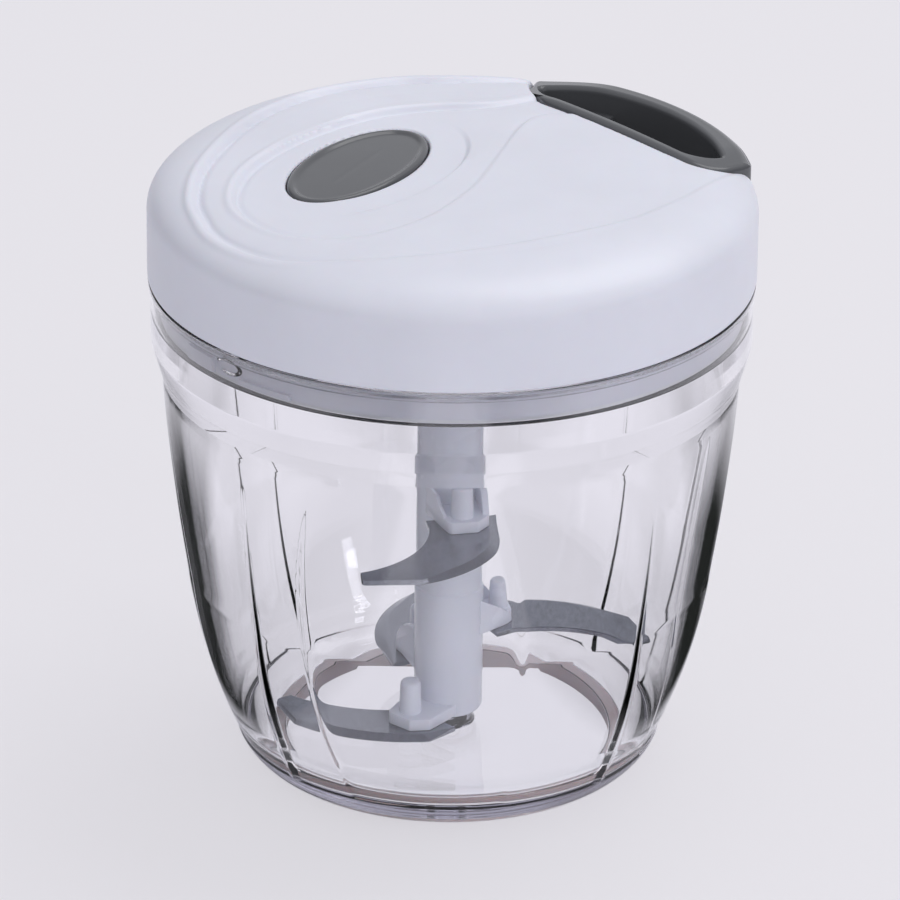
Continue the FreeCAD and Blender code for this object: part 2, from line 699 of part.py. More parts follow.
def make_bowl():
    outside = outer_wall("bowl_outside", ZERO)
    hollow = bowl_inside()
    recess = turned("bowl_foot_recess", [
        (ZERO, ZERO),
        (ring_inner_radius, ZERO),
        (ring_outer_radius, ZERO),
        (ring_outer_radius, size.ring_height),
        (ring_inner_radius, size.ring_height),
        (ring_inner_radius, size.floor_height - size.floor_thickness),
        (ZERO, size.floor_height - size.floor_thickness),
    ])
    panels = fuse("panel_tools", [panel_tool(index) for index in range(4)])
    pressed = cut("bowl_pressed", outside, panels)
    ribbed = fuse("bowl_ribbed", [pressed] + [rib(index) for index in range(4)])
    hollowed = cut("bowl_hollowed", ribbed, fuse("bowl_hollows", [hollow, recess]))
    boss_foot = size.floor_height - size.floor_thickness
    boss = rod("pin_boss", size.pin_boss_radius, boss_foot, pin_boss_top - boss_foot)
    bumps = [bayonet_bump(index) for index in range(2)]
    whole = fuse("bowl_whole", [hollowed, boss] + bumps)
    seat = rod("pin_seat", size.pin_radius, boss_foot + size.pin_cover, size.pin_top)
    finish(cut("bowl_body", whole, seat), "bowl")


def make_pivot_pin():
    foot = size.floor_height - size.floor_thickness + size.pin_cover
    chamfer = size.pin_radius / 3
    corners = [
        (ZERO, foot),
        (size.pin_radius, foot),
        (size.pin_radius, size.pin_top - chamfer),
        (size.pin_radius - chamfer, size.pin_top),
        (ZERO, size.pin_top),
    ]
    finish(turned("pin_body", corners), "pivot_pin")


def make_antislip_ring():
    corners = [
        (ring_inner_radius, ZERO),
        (ring_outer_radius, ZERO),
        (ring_outer_radius, size.ring_height),
        (ring_inner_radius, size.ring_height),
    ]
    finish(turned("ring_body", corners), "antislip_ring")


# Lid

def dome(name, drop, side=ZERO, bottom=None):
    """Solid under the lid's top surface, lowered by a drop and drawn in at the side."""
    bottom = bottom or size.bowl_height + size.lid_gap
    radius = size.lid_radius - side
    shoulder = shoulder_radius
    rise = shoulder_height - lid_side_top
    reach = radius - shoulder
    base = lid_side_top - drop
    # Points of the elliptical shoulder at 22.5, 45 and 67.5 degrees
    near, half, far = 0.3827, 0.7071, 0.9239
    corners = [
        (ZERO, bottom),
        (radius, bottom),
        (radius, base),
        (shoulder + reach * half, base + rise * half, shoulder + reach * far, base + rise * near),
        (shoulder, base + rise, shoulder + reach * near, base + rise * far),
        (ZERO, lid_height - drop, shoulder / 2, shoulder_height - drop
         + (lid_height - shoulder_height) * 0.75),
    ]
    return turned(name, corners)


def handle_outline(grow, outer):
    """D-shaped plan of the handle in its own axes, made larger by a margin."""
    inner = handle_inner - grow
    left = size.handle_left + grow
    right = -(size.handle_right + grow)
    corner = size.handle_right_corner
    diagonal = grow * SIN_45
    # The left corner is a shallow arc, which passes 0.3 and 0.5 of its two legs
    return [
        (inner, corner - size.handle_right),
        (handle_inner + corner, right,
         handle_inner + corner * BULGE_45 - diagonal, corner * BULGE_45 - size.handle_right - diagonal),
        (outer, right),
        (outer, left),
        (handle_inner + size.handle_left_reach, left),
        (inner, size.handle_left - size.handle_left_corner,
         handle_inner + size.handle_left_reach * 0.3 - diagonal,
         size.handle_left - size.handle_left_corner * 0.5 + diagonal),
    ]


def handle_block(name, grow, bottom, height):
    outline = handle_outline(grow, size.lid_radius + 5)
    return place(slab(name, outline, bottom, height), azimuth=size.handle_azimuth)


def relief_tool(name, outline, drop):
    """Space above a lowered part of the lid's top."""
    scale = size.lid_radius / size.relief_unit
    outline = [tuple(scale * value for value in corner) for corner in outline]
    bottom = lid_side_top - size.relief_inner_depth * 2
    block = slab(name + "_block", outline, bottom, lid_height - bottom + size.cut_margin)
    return cut(name, block, dome(name + "_dome", drop))


def outer_relief():
    """Plan of the first step: a loop open towards the handle."""
    return [
        (62.0, 9.0),
        (19.1, -37.7, 46.5, -16.6),
        (-15.1, -48.4, 2.6, -45.0),
        (-54.9, -15.3, -43.5, -40.6),
        (-37.5, 38.3, -51.0, 12.0),
        (-1.8, 54.5, -21.5, 51.0),
        (19.0, 59.5),
        (70.0, 70.0),
    ]


def inner_relief():
    """Plan of the second step: a loop round the button with a neck towards the handle."""
    return [
        (18.3, 44.0),
        (-3.9, 37.1, 7.6, 38.2),
        (-39.1, 10.2, -25.0, 26.9),
        (-43.3, -25.7, -46.8, -8.6),
        (-17.2, -36.3, -32.0, -36.8),
        (5.7, -8.8, -4.2, -25.8),
        (14.3, 22.2),
        (25.8, 32.3, 18.2, 30.4),
        (40.0, 46.4),
    ]


def screw_azimuths():
    return [size.handle_azimuth + 45 + 90 * index for index in range(4)]


def make_lid_cover():
    bottom = size.bowl_height + size.lid_gap
    outside = dome("lid_outside", ZERO)
    hollow = dome("lid_hollow", size.lid_top_wall, size.lid_side_wall, bottom - size.cut_margin)
    shell = cut("lid_shell", outside, hollow)
    floor = handle_bottom - size.pocket_gap
    above = lid_height - floor + size.pocket_wall
    margin = size.pocket_gap + size.pocket_wall
    pocket = handle_block("pocket_block", margin, floor - size.pocket_wall, above)
    pocket_inside = common("pocket_inside", pocket, dome("pocket_dome", ZERO))
    boss_bottom = reel_top + size.boss_gap
    ceiling = shoulder_height - size.ceiling_overlap
    boss = rod("axle_boss", size.axle_boss_radius, boss_bottom, ceiling - boss_bottom)
    plate_top = base_bottom + size.base_thickness
    post_top = shoulder_height - size.lid_top_wall + size.ceiling_overlap / 2
    posts = [
        rod("post_%d" % index, size.post_radius, plate_top, post_top - plate_top,
            x=screw_circle, azimuth=azimuth)
        for index, azimuth in enumerate(screw_azimuths())
    ]
    gap = size.button_gap * 2
    well_wall = size.button_well_wall * 2
    well_bottom = button_well_bottom
    button_place = {"x": size.button_x, "y": size.button_y, "azimuth": size.button_angle}
    well_block = oval("well_block", size.button_length + gap + well_wall, size.button_width + gap + well_wall,
                      well_bottom, ceiling - well_bottom, **button_place)
    solid = fuse("lid_solid", [shell, pocket_inside, boss, well_block] + posts)
    tools = [
        handle_block("pocket_space", size.pocket_gap, floor, above),
        rod("axle_seat", size.axle_radius, boss_bottom - size.cut_margin,
            axle_top - boss_bottom + size.cut_margin),
        oval("well_space", size.button_length + gap, size.button_width + gap,
             button_floor, lid_height - button_floor, **button_place),
        rod("brake_window", size.brake_radius + size.brake_gap, well_bottom - size.cut_margin,
            size.button_floor_thickness + size.cut_margin * 2, x=size.button_x, y=size.button_y),
        oval("dish_tool", size.dish_length, size.dish_width, lid_height - size.dish_depth,
             size.dish_depth + size.cut_margin, **button_place),
        level_rod("guide_hole", size.guide_radius, handle_inner - margin - size.cut_margin,
                  margin + size.cut_margin, string_level, size.handle_azimuth),
    ]
    tools.append(relief_tool("outer_step", outer_relief(), size.relief_outer_depth))
    tools.append(relief_tool("inner_step", inner_relief(), size.relief_inner_depth))
    for index, azimuth in enumerate(screw_azimuths()):
        tools.append(rod("post_hole_%d" % index, size.screw_radius, plate_top - size.cut_margin,
                         size.screw_length + size.cut_margin, x=screw_circle, azimuth=azimuth))
    piece = solid
    for index, tool in enumerate(tools):
        piece = cut("lid_cut_%d" % index, piece, tool)
    finish(piece, "lid_cover")


def make_lid_base():
    plate_top = base_bottom + size.base_thickness
    skirt_inner = skirt_outer_radius - size.skirt_wall
    step = seal_inner_radius - size.seal_fit
    foot = skirt_bottom
    collar = size.bowl_height + size.collar_gap
    collar_radius = size.lid_radius - size.lid_side_wall - size.face_gap
    bore = size.hub_radius + size.running_gap
    bearing = bore + size.bearing_wall
    bearing_top = cup_bottom - size.spring_cover_thickness - size.face_gap
    corners = [
        (bore, bearing_bottom),
        (bearing, bearing_bottom),
        (bearing, base_bottom),
        (step, base_bottom),
        (step, foot),
        (skirt_outer_radius, foot),
        (skirt_outer_radius, collar),
        (collar_radius, collar),
        (collar_radius, collar + size.collar_thickness),
        (skirt_inner, collar + size.collar_thickness),
        (skirt_inner, plate_top),
        (bearing, plate_top),
        (bearing, bearing_top),
        (bore, bearing_top),
    ]
    plate = turned("base_plate", corners)
    reach = socket_radius - size.face_gap
    bars = []
    for index in range(2):
        lug = size.bayonet_azimuth + 180 * index
        bar_middle = lug + size.bar_gap_angle + size.bar_angle / 2
        stop_middle = lug - size.bar_gap_angle - size.stop_angle / 2
        bars += [
            wedge("lock_bar_%d" % index, reach, size.bar_angle, foot, size.bar_height, bar_middle),
            wedge("lock_stop_%d" % index, reach, size.stop_angle, foot, size.stop_height, stop_middle),
        ]
    core_radius = skirt_outer_radius - size.skirt_wall / 2
    core = rod("lock_core", core_radius, foot - size.cut_margin, size.lock_band)
    lock = cut("lock_bars", fuse("lock_wedges", bars), core)
    solid = fuse("base_solid", [plate, lock])
    holes = []
    for index, azimuth in enumerate(screw_azimuths()):
        under = base_bottom - size.cut_margin
        holes.append(rod("base_hole_%d" % index, size.screw_radius + size.screw_clearance, under,
                         size.base_thickness + size.cut_margin * 2, x=screw_circle, azimuth=azimuth))
        holes.append(rod("base_sink_%d" % index, size.screw_head_radius + size.sink_clearance, under,
                         size.screw_head_height + size.cut_margin, x=screw_circle, azimuth=azimuth))
    finish(cut("base_body", solid, fuse("base_holes", holes)), "lid_base")


def make_lid_seal():
    inner = seal_inner_radius
    top = skirt_bottom - size.running_gap
    corners = [
        (inner, top - size.seal_thickness),
        (inner + size.seal_width, top - size.seal_thickness),
        (inner + size.seal_width, top),
        (inner, top),
    ]
    finish(turned("seal_body", corners), "lid_seal")


def make_lid_screws():
    screws = []
    head_top = base_bottom + size.screw_head_height
    for index, azimuth in enumerate(screw_azimuths()):
        head_bottom = base_bottom + size.screw_inset
        head = rod("screw_head_%d" % index, size.screw_head_radius, head_bottom,
                   size.screw_head_height - size.screw_inset, x=screw_circle, azimuth=azimuth)
        shank = rod("screw_shank_%d" % index, size.screw_radius, head_top - size.screw_head_height / 3,
                    size.screw_length, x=screw_circle, azimuth=azimuth)
        slot = rod("screw_drive_%d" % index, size.screw_radius * 0.8, head_bottom - size.cut_margin,
                   size.cut_margin + size.screw_head_height / 2, x=screw_circle, azimuth=azimuth)
        screws.append(cut("screw_%d" % index, fuse("screw_blank_%d" % index, [head, shank]), slot))
    finish(group("screw_set", screws), "lid_screws")


# Handle and button

def make_pull_handle():
    block = handle_block("handle_block", ZERO, handle_bottom, lid_height - handle_bottom)
    rim = turned("handle_rim", [
        (ZERO, handle_bottom - size.cut_margin),
        (size.lid_radius, handle_bottom - size.cut_margin),
        (size.lid_radius, handle_shoulder),
        (handle_rim_radius, handle_rim_height,
         size.lid_radius - (size.lid_radius - handle_rim_radius) * 0.25,
         handle_rim_height - (handle_rim_height - handle_shoulder) * 0.375),
        (shoulder_radius, shoulder_height),
        (ZERO, lid_height),
    ])
    body = common("handle_body", block, rim)
    corner = size.well_corner
    deep = slab("deep_well", [
        (well_inner, corner - size.well_right),
        (well_inner + corner, -size.well_right,
         well_inner + corner * BULGE_45, corner * BULGE_45 - size.well_right),
        (well_inner + corner, size.well_left, well_radius, ZERO),
        (well_inner, size.well_left - corner,
         well_inner + corner * BULGE_45, size.well_left - corner * BULGE_45),
    ], well_floor, lid_height - well_floor)
    place(deep, azimuth=size.handle_azimuth)
    step = slab("well_step", [
        (well_inner - size.cut_margin, size.well_step),
        (size.lid_radius, size.well_step),
        (size.lid_radius, size.well_left + size.cut_margin),
        (well_inner - size.cut_margin, size.well_left + size.cut_margin),
    ], well_floor - size.cut_margin, size.well_step_height + size.cut_margin)
    place(step, azimuth=size.handle_azimuth)
    well = cut("finger_well", deep, step)
    front_wall = well_inner - handle_inner + size.cut_margin
    bore = level_rod("handle_bore", size.guide_bore, handle_inner - size.cut_margin, front_wall,
                     string_level, size.handle_azimuth)
    seat = level_rod("knot_seat", size.knot_radius + size.knot_gap, knot_seat,
                     size.knot_radius * 2 + size.knot_gap, string_level, size.handle_azimuth)
    tools = fuse("handle_tools", [well, bore, seat])
    finish(cut("handle_finished", body, tools), "pull_handle")


def make_string_knot():
    ball = doc.addObject("Part::Sphere", "knot_ball")
    bind(ball, "Radius", size.knot_radius)
    centre = knot_seat + size.knot_radius + size.running_gap
    place(ball, string_level, x=centre * size.handle_azimuth.cos(), y=centre * size.handle_azimuth.sin())
    finish(ball, "string_knot")


def make_button():
    bottom = button_bottom
    spot = {"x": size.button_x, "y": size.button_y, "azimuth": size.button_angle}
    block = oval("button_block", size.button_length, size.button_width, bottom, lid_height - bottom, **spot)
    body = common("button_body", block, dome("button_dome", size.button_drop))
    rim = size.button_wall * 2
    recess = oval("button_recess", size.button_length - rim, size.button_width - rim,
                  bottom - size.cut_margin, size.button_ceiling + size.cut_margin, **spot)
    stem = rod("button_stem", size.brake_radius, bottom, size.button_ceiling + size.face_gap,
               x=size.button_x, y=size.button_y)
    hollowed = cut("button_hollowed", body, recess)
    finish(fuse("button_finished", [hollowed, stem]), "button_cap")
    pad_bottom = reel_top + size.button_travel + size.face_gap
    pad = rod("pad_body", size.brake_radius, pad_bottom, bottom - pad_bottom,
              x=size.button_x, y=size.button_y)
    finish(pad, "brake_pad")
    springs = []
    floor = button_floor
    spring_height = bottom + size.button_ceiling - floor
    for index, side in enumerate((-1, 1)):
        offset = size.button_spring_offset * side
        x = size.button_x + offset * size.button_angle.cos()
        y = size.button_y + offset * size.button_angle.sin()
        outer = rod("spring_outer_%d" % index, size.button_spring_radius, floor, spring_height, x=x, y=y)
        inner = rod("spring_inner_%d" % index, size.button_spring_radius - size.button_spring_wall,
                    floor - size.cut_margin, spring_height + size.cut_margin * 2, x=x, y=y)
        springs.append(cut("button_spring_%d" % index, outer, inner))
    finish(group("spring_pair", springs), "button_springs")


# String, reel and recoil spring

def make_cord_reel():
    bore = size.axle_radius + size.running_gap
    inner_cup = size.cup_radius - size.cup_wall
    corners = [
        (bore, cup_floor),
        (inner_cup, cup_floor),
        (inner_cup, cup_bottom),
        (size.cup_radius, cup_bottom),
        (size.cup_radius, drum_bottom),
        (size.drum_radius, drum_bottom),
        (size.drum_radius, drum_top),
        (size.drum_flange_radius, drum_top),
        (size.drum_flange_radius, reel_top),
        (bore, reel_top),
    ]
    finish(turned("reel_body", corners), "cord_reel")


def make_spring_cover():
    bottom = cup_bottom - size.spring_cover_thickness
    corners = [
        (size.hub_radius, bottom),
        (size.cup_radius, bottom),
        (size.cup_radius, cup_bottom),
        (size.hub_radius, cup_bottom),
    ]
    finish(turned("spring_cover_body", corners), "spring_cover")


def make_drive_hub():
    top = cup_bottom + size.hub_flange
    socket_top = head_top + size.head_gap
    web_top = socket_top + size.hub_web
    relief = size.washer_radius + size.face_gap * 3
    corners = [
        (ZERO, socket_top),
        (hub_bore, socket_top),
        (hub_bore, hub_bottom),
        (size.hub_radius, hub_bottom),
        (size.hub_radius, cup_bottom),
        (hub_flange_radius, cup_bottom),
        (hub_flange_radius, top),
        (relief, top),
        (relief, web_top),
        (ZERO, web_top),
    ]
    tube = turned("hub_tube", corners)
    dogs = [
        wedge("hub_dog_%d" % index, (hub_bore + size.hub_radius) / 2, size.dog_angle,
              hub_bottom + size.dog_gap * 2, socket_top - hub_bottom, Size(90 + 120 * index))
        for index in range(3)
    ]
    space = rod("hub_dog_space", size.head_radius + size.dog_gap, hub_bottom - size.cut_margin,
                socket_top - hub_bottom + size.cut_margin)
    ribs = cut("hub_ribs", fuse("hub_dogs", dogs), space)
    finish(fuse("hub_body", [tube, ribs]), "drive_hub")


def make_axle():
    """Axle with the arbor, washer and screw at its lower end."""
    washer_bottom = cup_bottom + size.hub_flange + size.face_gap
    arbor_bottom = washer_bottom + size.washer_thickness
    body = rod("axle_blank", size.axle_radius, arbor_bottom, axle_top - arbor_bottom)
    thread_top = washer_bottom + size.axle_screw_length
    thread = rod("axle_thread", size.axle_screw_radius, washer_bottom - size.cut_margin,
                 thread_top - washer_bottom + size.cut_margin)
    finish(cut("axle_body", body, thread), "reel_axle")
    top = cup_floor - size.face_gap
    arbor = rod("arbor_blank", size.arbor_radius, arbor_bottom, top - arbor_bottom)
    seat = rod("arbor_seat", size.axle_radius, washer_bottom, cup_floor - washer_bottom)
    finish(cut("arbor_body", arbor, seat), "spring_arbor")
    disc = rod("washer_blank", size.washer_radius, washer_bottom, size.washer_thickness)
    hole = rod("washer_hole", size.axle_screw_radius + size.running_gap * 2, washer_bottom - size.cut_margin,
               size.washer_thickness + size.cut_margin * 2)
    finish(cut("washer_body", disc, hole), "axle_washer")
    head_bottom = washer_bottom - size.axle_screw_head_height
    head = rod("axle_screw_head", size.axle_screw_head_radius, head_bottom, size.axle_screw_head_height)
    shank = rod("axle_screw_shank", size.axle_screw_radius, washer_bottom - size.axle_screw_head_height / 2,
                thread_top - washer_bottom + size.axle_screw_head_height / 2)
    finish(fuse("axle_screw_body", [head, shank]), "axle_screw")


def half_turns(start, count, pitch, level):
    """Spiral line of half circles, which moves out by half the pitch in each."""
    edges = []
    for index in range(count):
        side = 1 if index % 2 == 0 else -1
        first = side * (start + index * pitch / 2)
        last = -side * (start + (index + 1) * pitch / 2)
        middle = Vector((first + last) / 2, side * abs(first - last) / 2, level)
        arc = Part.Arc(Vector(first, 0, level), middle, Vector(last, 0, level))
        edges.append(arc.toShape())
    return edges


def make_recoil_spring():
    """Flat steel strip wound in a spiral round the arbor."""
    pitch = size.strip_pitch.value
    start = size.arbor_radius.value + 0.1
    room = size.cup_radius.value - size.cup_wall.value - start - pitch
    count = 2 * int(room / pitch)
    bottom = (cup_bottom + size.hub_flange + size.face_gap * 2).value
    top = (cup_floor - size.face_gap).value
    thickness = size.strip_thickness.value
    inner = half_turns(start, count, pitch, bottom)
    outer = half_turns(start + thickness, count, pitch, bottom)
    last = start + count * pitch / 2
    ends = [
        Part.makeLine(Vector(start, 0, bottom), Vector(start + thickness, 0, bottom)),
        Part.makeLine(Vector(last, 0, bottom), Vector(last + thickness, 0, bottom)),
    ]
    outline = Part.Wire(Part.sortEdges(inner + outer + ends)[0])
    piece = doc.addObject("Part::Feature", "recoil_strip")
    piece.Shape = Part.Face(outline).extrude(Vector(0, 0, top - bottom))
    finish(piece, "recoil_spring")


def make_string():
    """Stored turns round the drum, and the run to the handle's knot."""
    radius = size.string_radius
    inner = size.drum_radius + size.running_gap
    half = string_half_height
    turns = turned("string_turns_body", [
        (inner, string_level - half),
        (inner + radius * 2, string_level - half),
        (inner + radius * 2, string_level + half),
        (inner, string_level + half),
    ])
    centre_line = (inner + radius).value
    level = string_level.value
    corner = (handle_inner - size.pocket_gap - size.pocket_wall - size.guide_flange * 2).value
    lean = math.asin(centre_line / corner)
    leave = Vector(centre_line * math.sin(lean), -centre_line * math.cos(lean), level)
    bend = Vector(corner, 0, level)
    finish_at = Vector(knot_seat.value, 0, level)
    path = bent_path(leave, bend, finish_at, size.string_radius.value * 4)
    run = doc.addObject("Part::Feature", "string_run")
    run.Shape = tube(path, radius.value)
    run.Placement = Placement(Vector(0, 0, 0), Rotation(UP, size.handle_azimuth.value))
    finish(fuse("string_body", [turns, run]), "pull_string")


def bent_path(start, corner, end, radius):
    """Two straight runs joined by a tangent arc."""
    arriving = (corner - start).normalize()
    leaving = (end - corner).normalize()
    turn = arriving.getAngle(leaving)
    setback = radius * math.tan(turn / 2)
    first = corner - arriving * setback
    last = corner + leaving * setback
    inward = (leaving - arriving).normalize()
    centre = corner + inward * (radius / math.cos(turn / 2))
    middle = centre - inward * radius
    print("string bend radius %.1f mm, turn %.1f degrees" % (radius, math.degrees(turn)))
    return Part.Wire([
        Part.LineSegment(start, first).toShape(),
        Part.Arc(first, middle, last).toShape(),
        Part.LineSegment(last, end).toShape(),
    ])


def tube(path, radius):
    start = path.Edges[0].Vertexes[0].Point
    direction = path.Edges[0].Vertexes[1].Point - start
    section = Part.Wire(Part.makeCircle(radius, start, direction))
    return path.makePipeShell([section], True, False)


def make_cord_guide():
    """Smooth bush in the pocket's wall, its flange on the reel's side."""
    wall_inside = handle_inner - size.pocket_gap - size.pocket_wall
    azimuth = size.handle_azimuth
    barrel = level_rod("guide_barrel", size.guide_radius, wall_inside, size.pocket_wall,
                       string_level, azimuth)
    flange = level_rod("guide_flange_disc", size.guide_flange_radius, wall_inside - size.guide_flange,
                       size.guide_flange, string_level, azimuth)
    bore = level_rod("guide_bore_tool", size.guide_bore, wall_inside - size.guide_flange - size.cut_margin,
                     size.guide_flange + size.pocket_wall + size.cut_margin * 2, string_level, azimuth)
    finish(cut("guide_body", fuse("guide_blank", [barrel, flange]), bore), "cord_guide")


# Rotor and blades

BLADES = ["top", "right", "back", "bottom"]


def blade_seat(name):
    azimuth = getattr(size, "blade_%s_azimuth" % name)
    height = size.floor_height + getattr(size, "blade_%s_height" % name)
    return azimuth, height


def arm(name):
    """Holder plate in the rotor's own axes, with its two webs where it stands free on the tube."""
    azimuth, height = blade_seat(name)
    chamfer_start = size.arm_end - size.arm_chamfer
    plate = slab("plate_%s" % name, [
        (size.arm_root, -size.arm_root_half),
        (size.arm_end, -size.arm_back),
        (size.arm_end, size.arm_front - size.arm_chamfer),
        (chamfer_start, size.arm_front),
        (size.arm_root, size.arm_front),
    ], ZERO, size.arm_thickness)
    place(plate, height, azimuth)
    if name == "bottom":
        return [plate]
    low = size.arm_thickness / 2
    high = size.arm_thickness + size.web_height
    span = chamfer_start - size.arm_root
    domed = slab("web_%s" % name, [
        (size.arm_root, low),
        (chamfer_start, low),
        (chamfer_start, size.arm_thickness),
        (size.arm_root, high, size.arm_root + span * 0.75, size.arm_thickness + size.web_height * 0.72),
    ], size.arm_front - size.web_thickness, size.web_thickness, "XZ_Plane")
    place(domed, height, azimuth)
    straight = slab("thin_web_%s" % name, [
        (size.thin_web_root, low),
        (size.thin_web_end, low),
        (size.thin_web_end, size.arm_thickness),
        (size.thin_web_root, high),
    ], -size.thin_web_offset, size.thin_web, "XZ_Plane")
    place(straight, height, azimuth + size.thin_web_lean)
    return [plate, domed, straight]


def make_blade_shaft():
    bore = size.pin_radius + size.running_gap
    bottom = pin_boss_top + size.face_gap
    lip = size.shaft_lip
    neck = hub_bottom - size.dog_gap * 2
    shaft_top = neck - size.shaft_shoulder
    pin_room = size.pin_top + size.pin_headroom
    shaft = turned("shaft_tube", [
        (bore, bottom),
        (size.shaft_radius - lip, bottom),
        (size.shaft_radius, bottom + lip, size.shaft_radius - lip * BULGE_45, bottom + lip * BULGE_45),
        (size.shaft_radius, size.shaft_step - 0.2),
        (size.shaft_upper_radius, size.shaft_step + 0.2),
        (size.shaft_upper_radius, shaft_top),
        (size.head_radius, neck),
        (size.head_radius, head_top),
        (size.shaft_bore, head_top),
        (size.shaft_bore, size.shaft_bore_bottom),
        (ZERO, size.shaft_bore_bottom),
        (ZERO, pin_room),
        (bore, pin_room),
    ])
    pieces = [shaft]
    for name in BLADES:
        pieces += arm(name)
    dog_bottom = hub_bottom + size.dog_gap * 3
    dog_top = head_top - size.dog_gap * 4
    for index in range(3):
        pieces.append(wedge("head_dog_%d" % index, hub_bore - size.dog_gap, size.dog_angle,
                            dog_bottom, dog_top - dog_bottom, Size(30 + 120 * index)))
    solid = fuse("shaft_solid", pieces)
    core = rod("shaft_core_space", size.shaft_bore, size.shaft_bore_bottom, head_top)
    pin_space = rod("shaft_pin_space", bore, bottom - size.cut_margin, pin_room - bottom + size.cut_margin)
    holes = [
        rod("arm_hole_%s" % name, size.peg_shank_radius, blade_seat(name)[1] - size.cut_margin,
            size.arm_thickness + size.cut_margin * 2, x=size.peg_distance, azimuth=blade_seat(name)[0])
        for name in BLADES
    ]
    finish(cut("shaft_body", solid, fuse("shaft_spaces", [core, pin_space] + holes)), "blade_shaft")


def make_blade_pins():
    """Pegs that stand on the arms, pass through the blades and are closed below them."""
    pins = []
    for name in BLADES:
        azimuth, height = blade_seat(name)
        round_off = size.peg_rounding
        tip_radius = size.peg_radius - size.peg_taper
        top = size.arm_thickness + size.peg_height
        pin = turned("pin_%s" % name, [
            (ZERO, -(size.blade_thickness + size.peg_foot_height)),
            (size.peg_foot_radius, -(size.blade_thickness + size.peg_foot_height)),
            (size.peg_foot_radius, -size.blade_thickness),
            (size.peg_shank_radius, -size.blade_thickness),
            (size.peg_shank_radius, size.arm_thickness),
            (size.peg_radius, size.arm_thickness),
            (tip_radius, top - round_off),
            (tip_radius - round_off, top, tip_radius - round_off * BULGE_45, top - round_off * BULGE_45),
            (ZERO, top),
        ])
        place(pin, height, x=size.peg_distance * azimuth.cos(), y=size.peg_distance * azimuth.sin())
        pins.append(pin)
    finish(group("pin_set", pins), "blade_pins")


def make_blade(name):
    """Sickle blade under its holder plate: straight root, swept edge, blunt tip."""
    azimuth, height = blade_seat(name)
    reach = lower_radius - size.bowl_wall - size.blade_end_gap
    root = size.shaft_radius + size.blade_root_gap
    shoulder = size.blade_shoulder
    sweep = reach - shoulder
    share = Size(1)
    turn = ZERO
    if name == "bottom":
        share = (floor_radius - size.bottom_blade_gap) / reach
        turn = size.bottom_blade_turn

    def swept(along, back):
        """Point of the swept part, from its shares of the sweep and of the drop."""
        x = (reach - sweep * along) * share
        y = -size.blade_drop * back * share
        return x * turn.cos() - y * turn.sin(), x * turn.sin() + y * turn.cos()

    blank = slab("blade_blank_%s" % name, [
        (root, size.blade_root_front),
        (root, -size.blade_root_back),
        (size.blade_inner_corner, -size.blade_root_back),
        swept(0.315, 0.98) + swept(0.64, 0.54),
        swept(0.09, 1.0),
        swept(0.0, 0.53),
        (shoulder * share, size.blade_shoulder_width) + swept(0.335, 0.02),
    ], -size.blade_thickness, size.blade_thickness)
    place(blank, height, azimuth)
    hole = rod("blade_hole_%s" % name, size.peg_shank_radius, height - size.blade_thickness - size.cut_margin,
               size.blade_thickness + size.cut_margin * 2, x=size.peg_distance, azimuth=azimuth)
    finish(cut("blade_body_%s" % name, blank, hole), "blade_%s" % name)


# Put together, test and write

def check_solids():
    """Stop with a plain message if a feature failed."""
    for thing in doc.Objects:
        if "Invalid" in thing.State or "Error" in thing.State:
            raise RuntimeError("failed: %s %s" % (thing.Name, thing.State))
    for piece in PARTS:
        shape = piece.Shape
        if shape.isNull() or not shape.isValid() or not shape.Solids:
            raise RuntimeError("bad solid: %s" % piece.Label)


make_bowl()
make_pivot_pin()
make_antislip_ring()
make_lid_cover()
make_lid_base()
make_lid_seal()
make_lid_screws()
make_pull_handle()
make_string_knot()
make_button()
make_cord_reel()
make_spring_cover()
make_drive_hub()
make_axle()
make_recoil_spring()
make_string()
make_cord_guide()
make_blade_shaft()
make_blade_pins()
for blade_name in BLADES:
    make_blade(blade_name)

doc.recompute()
check_solids()
os.makedirs("parts", exist_ok=True)
for part in PARTS:
    part.Shape.exportStep("parts/%s.step" % part.Label)
    print("%-15s solids %d  volume %.0f" % (part.Label, len(part.Shape.Solids), part.Shape.Volume))
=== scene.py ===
"""Pull-string food chopper: the looks of each piece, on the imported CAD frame."""
import math

import bmesh
import bpy
import numpy as np
from mathutils import Matrix, Vector


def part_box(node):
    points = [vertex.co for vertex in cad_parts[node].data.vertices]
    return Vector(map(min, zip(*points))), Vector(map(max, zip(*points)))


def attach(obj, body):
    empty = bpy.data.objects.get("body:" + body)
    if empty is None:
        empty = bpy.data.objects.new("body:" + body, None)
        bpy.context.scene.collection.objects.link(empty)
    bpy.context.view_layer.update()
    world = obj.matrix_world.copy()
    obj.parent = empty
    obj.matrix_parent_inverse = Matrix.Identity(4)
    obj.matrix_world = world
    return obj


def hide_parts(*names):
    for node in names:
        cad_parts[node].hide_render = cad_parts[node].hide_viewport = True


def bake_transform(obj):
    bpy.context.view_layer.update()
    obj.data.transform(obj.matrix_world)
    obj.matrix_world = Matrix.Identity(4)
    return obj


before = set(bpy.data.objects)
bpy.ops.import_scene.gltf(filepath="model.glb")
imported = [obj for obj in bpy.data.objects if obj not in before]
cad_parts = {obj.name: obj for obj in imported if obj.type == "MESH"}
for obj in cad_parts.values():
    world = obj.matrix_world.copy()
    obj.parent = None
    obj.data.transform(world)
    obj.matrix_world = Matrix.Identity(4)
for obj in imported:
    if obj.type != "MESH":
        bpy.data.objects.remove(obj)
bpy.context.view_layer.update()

# Bowl
# Injection-moulded in one piece of clear, stiff plastic, 3 mm thick and polished inside and out.
# Four shallow arched panels are pressed into its wall, with a sharp rib between each two, and the
# rim has a socket with two lugs, under which the lid locks.
MM = 0.001
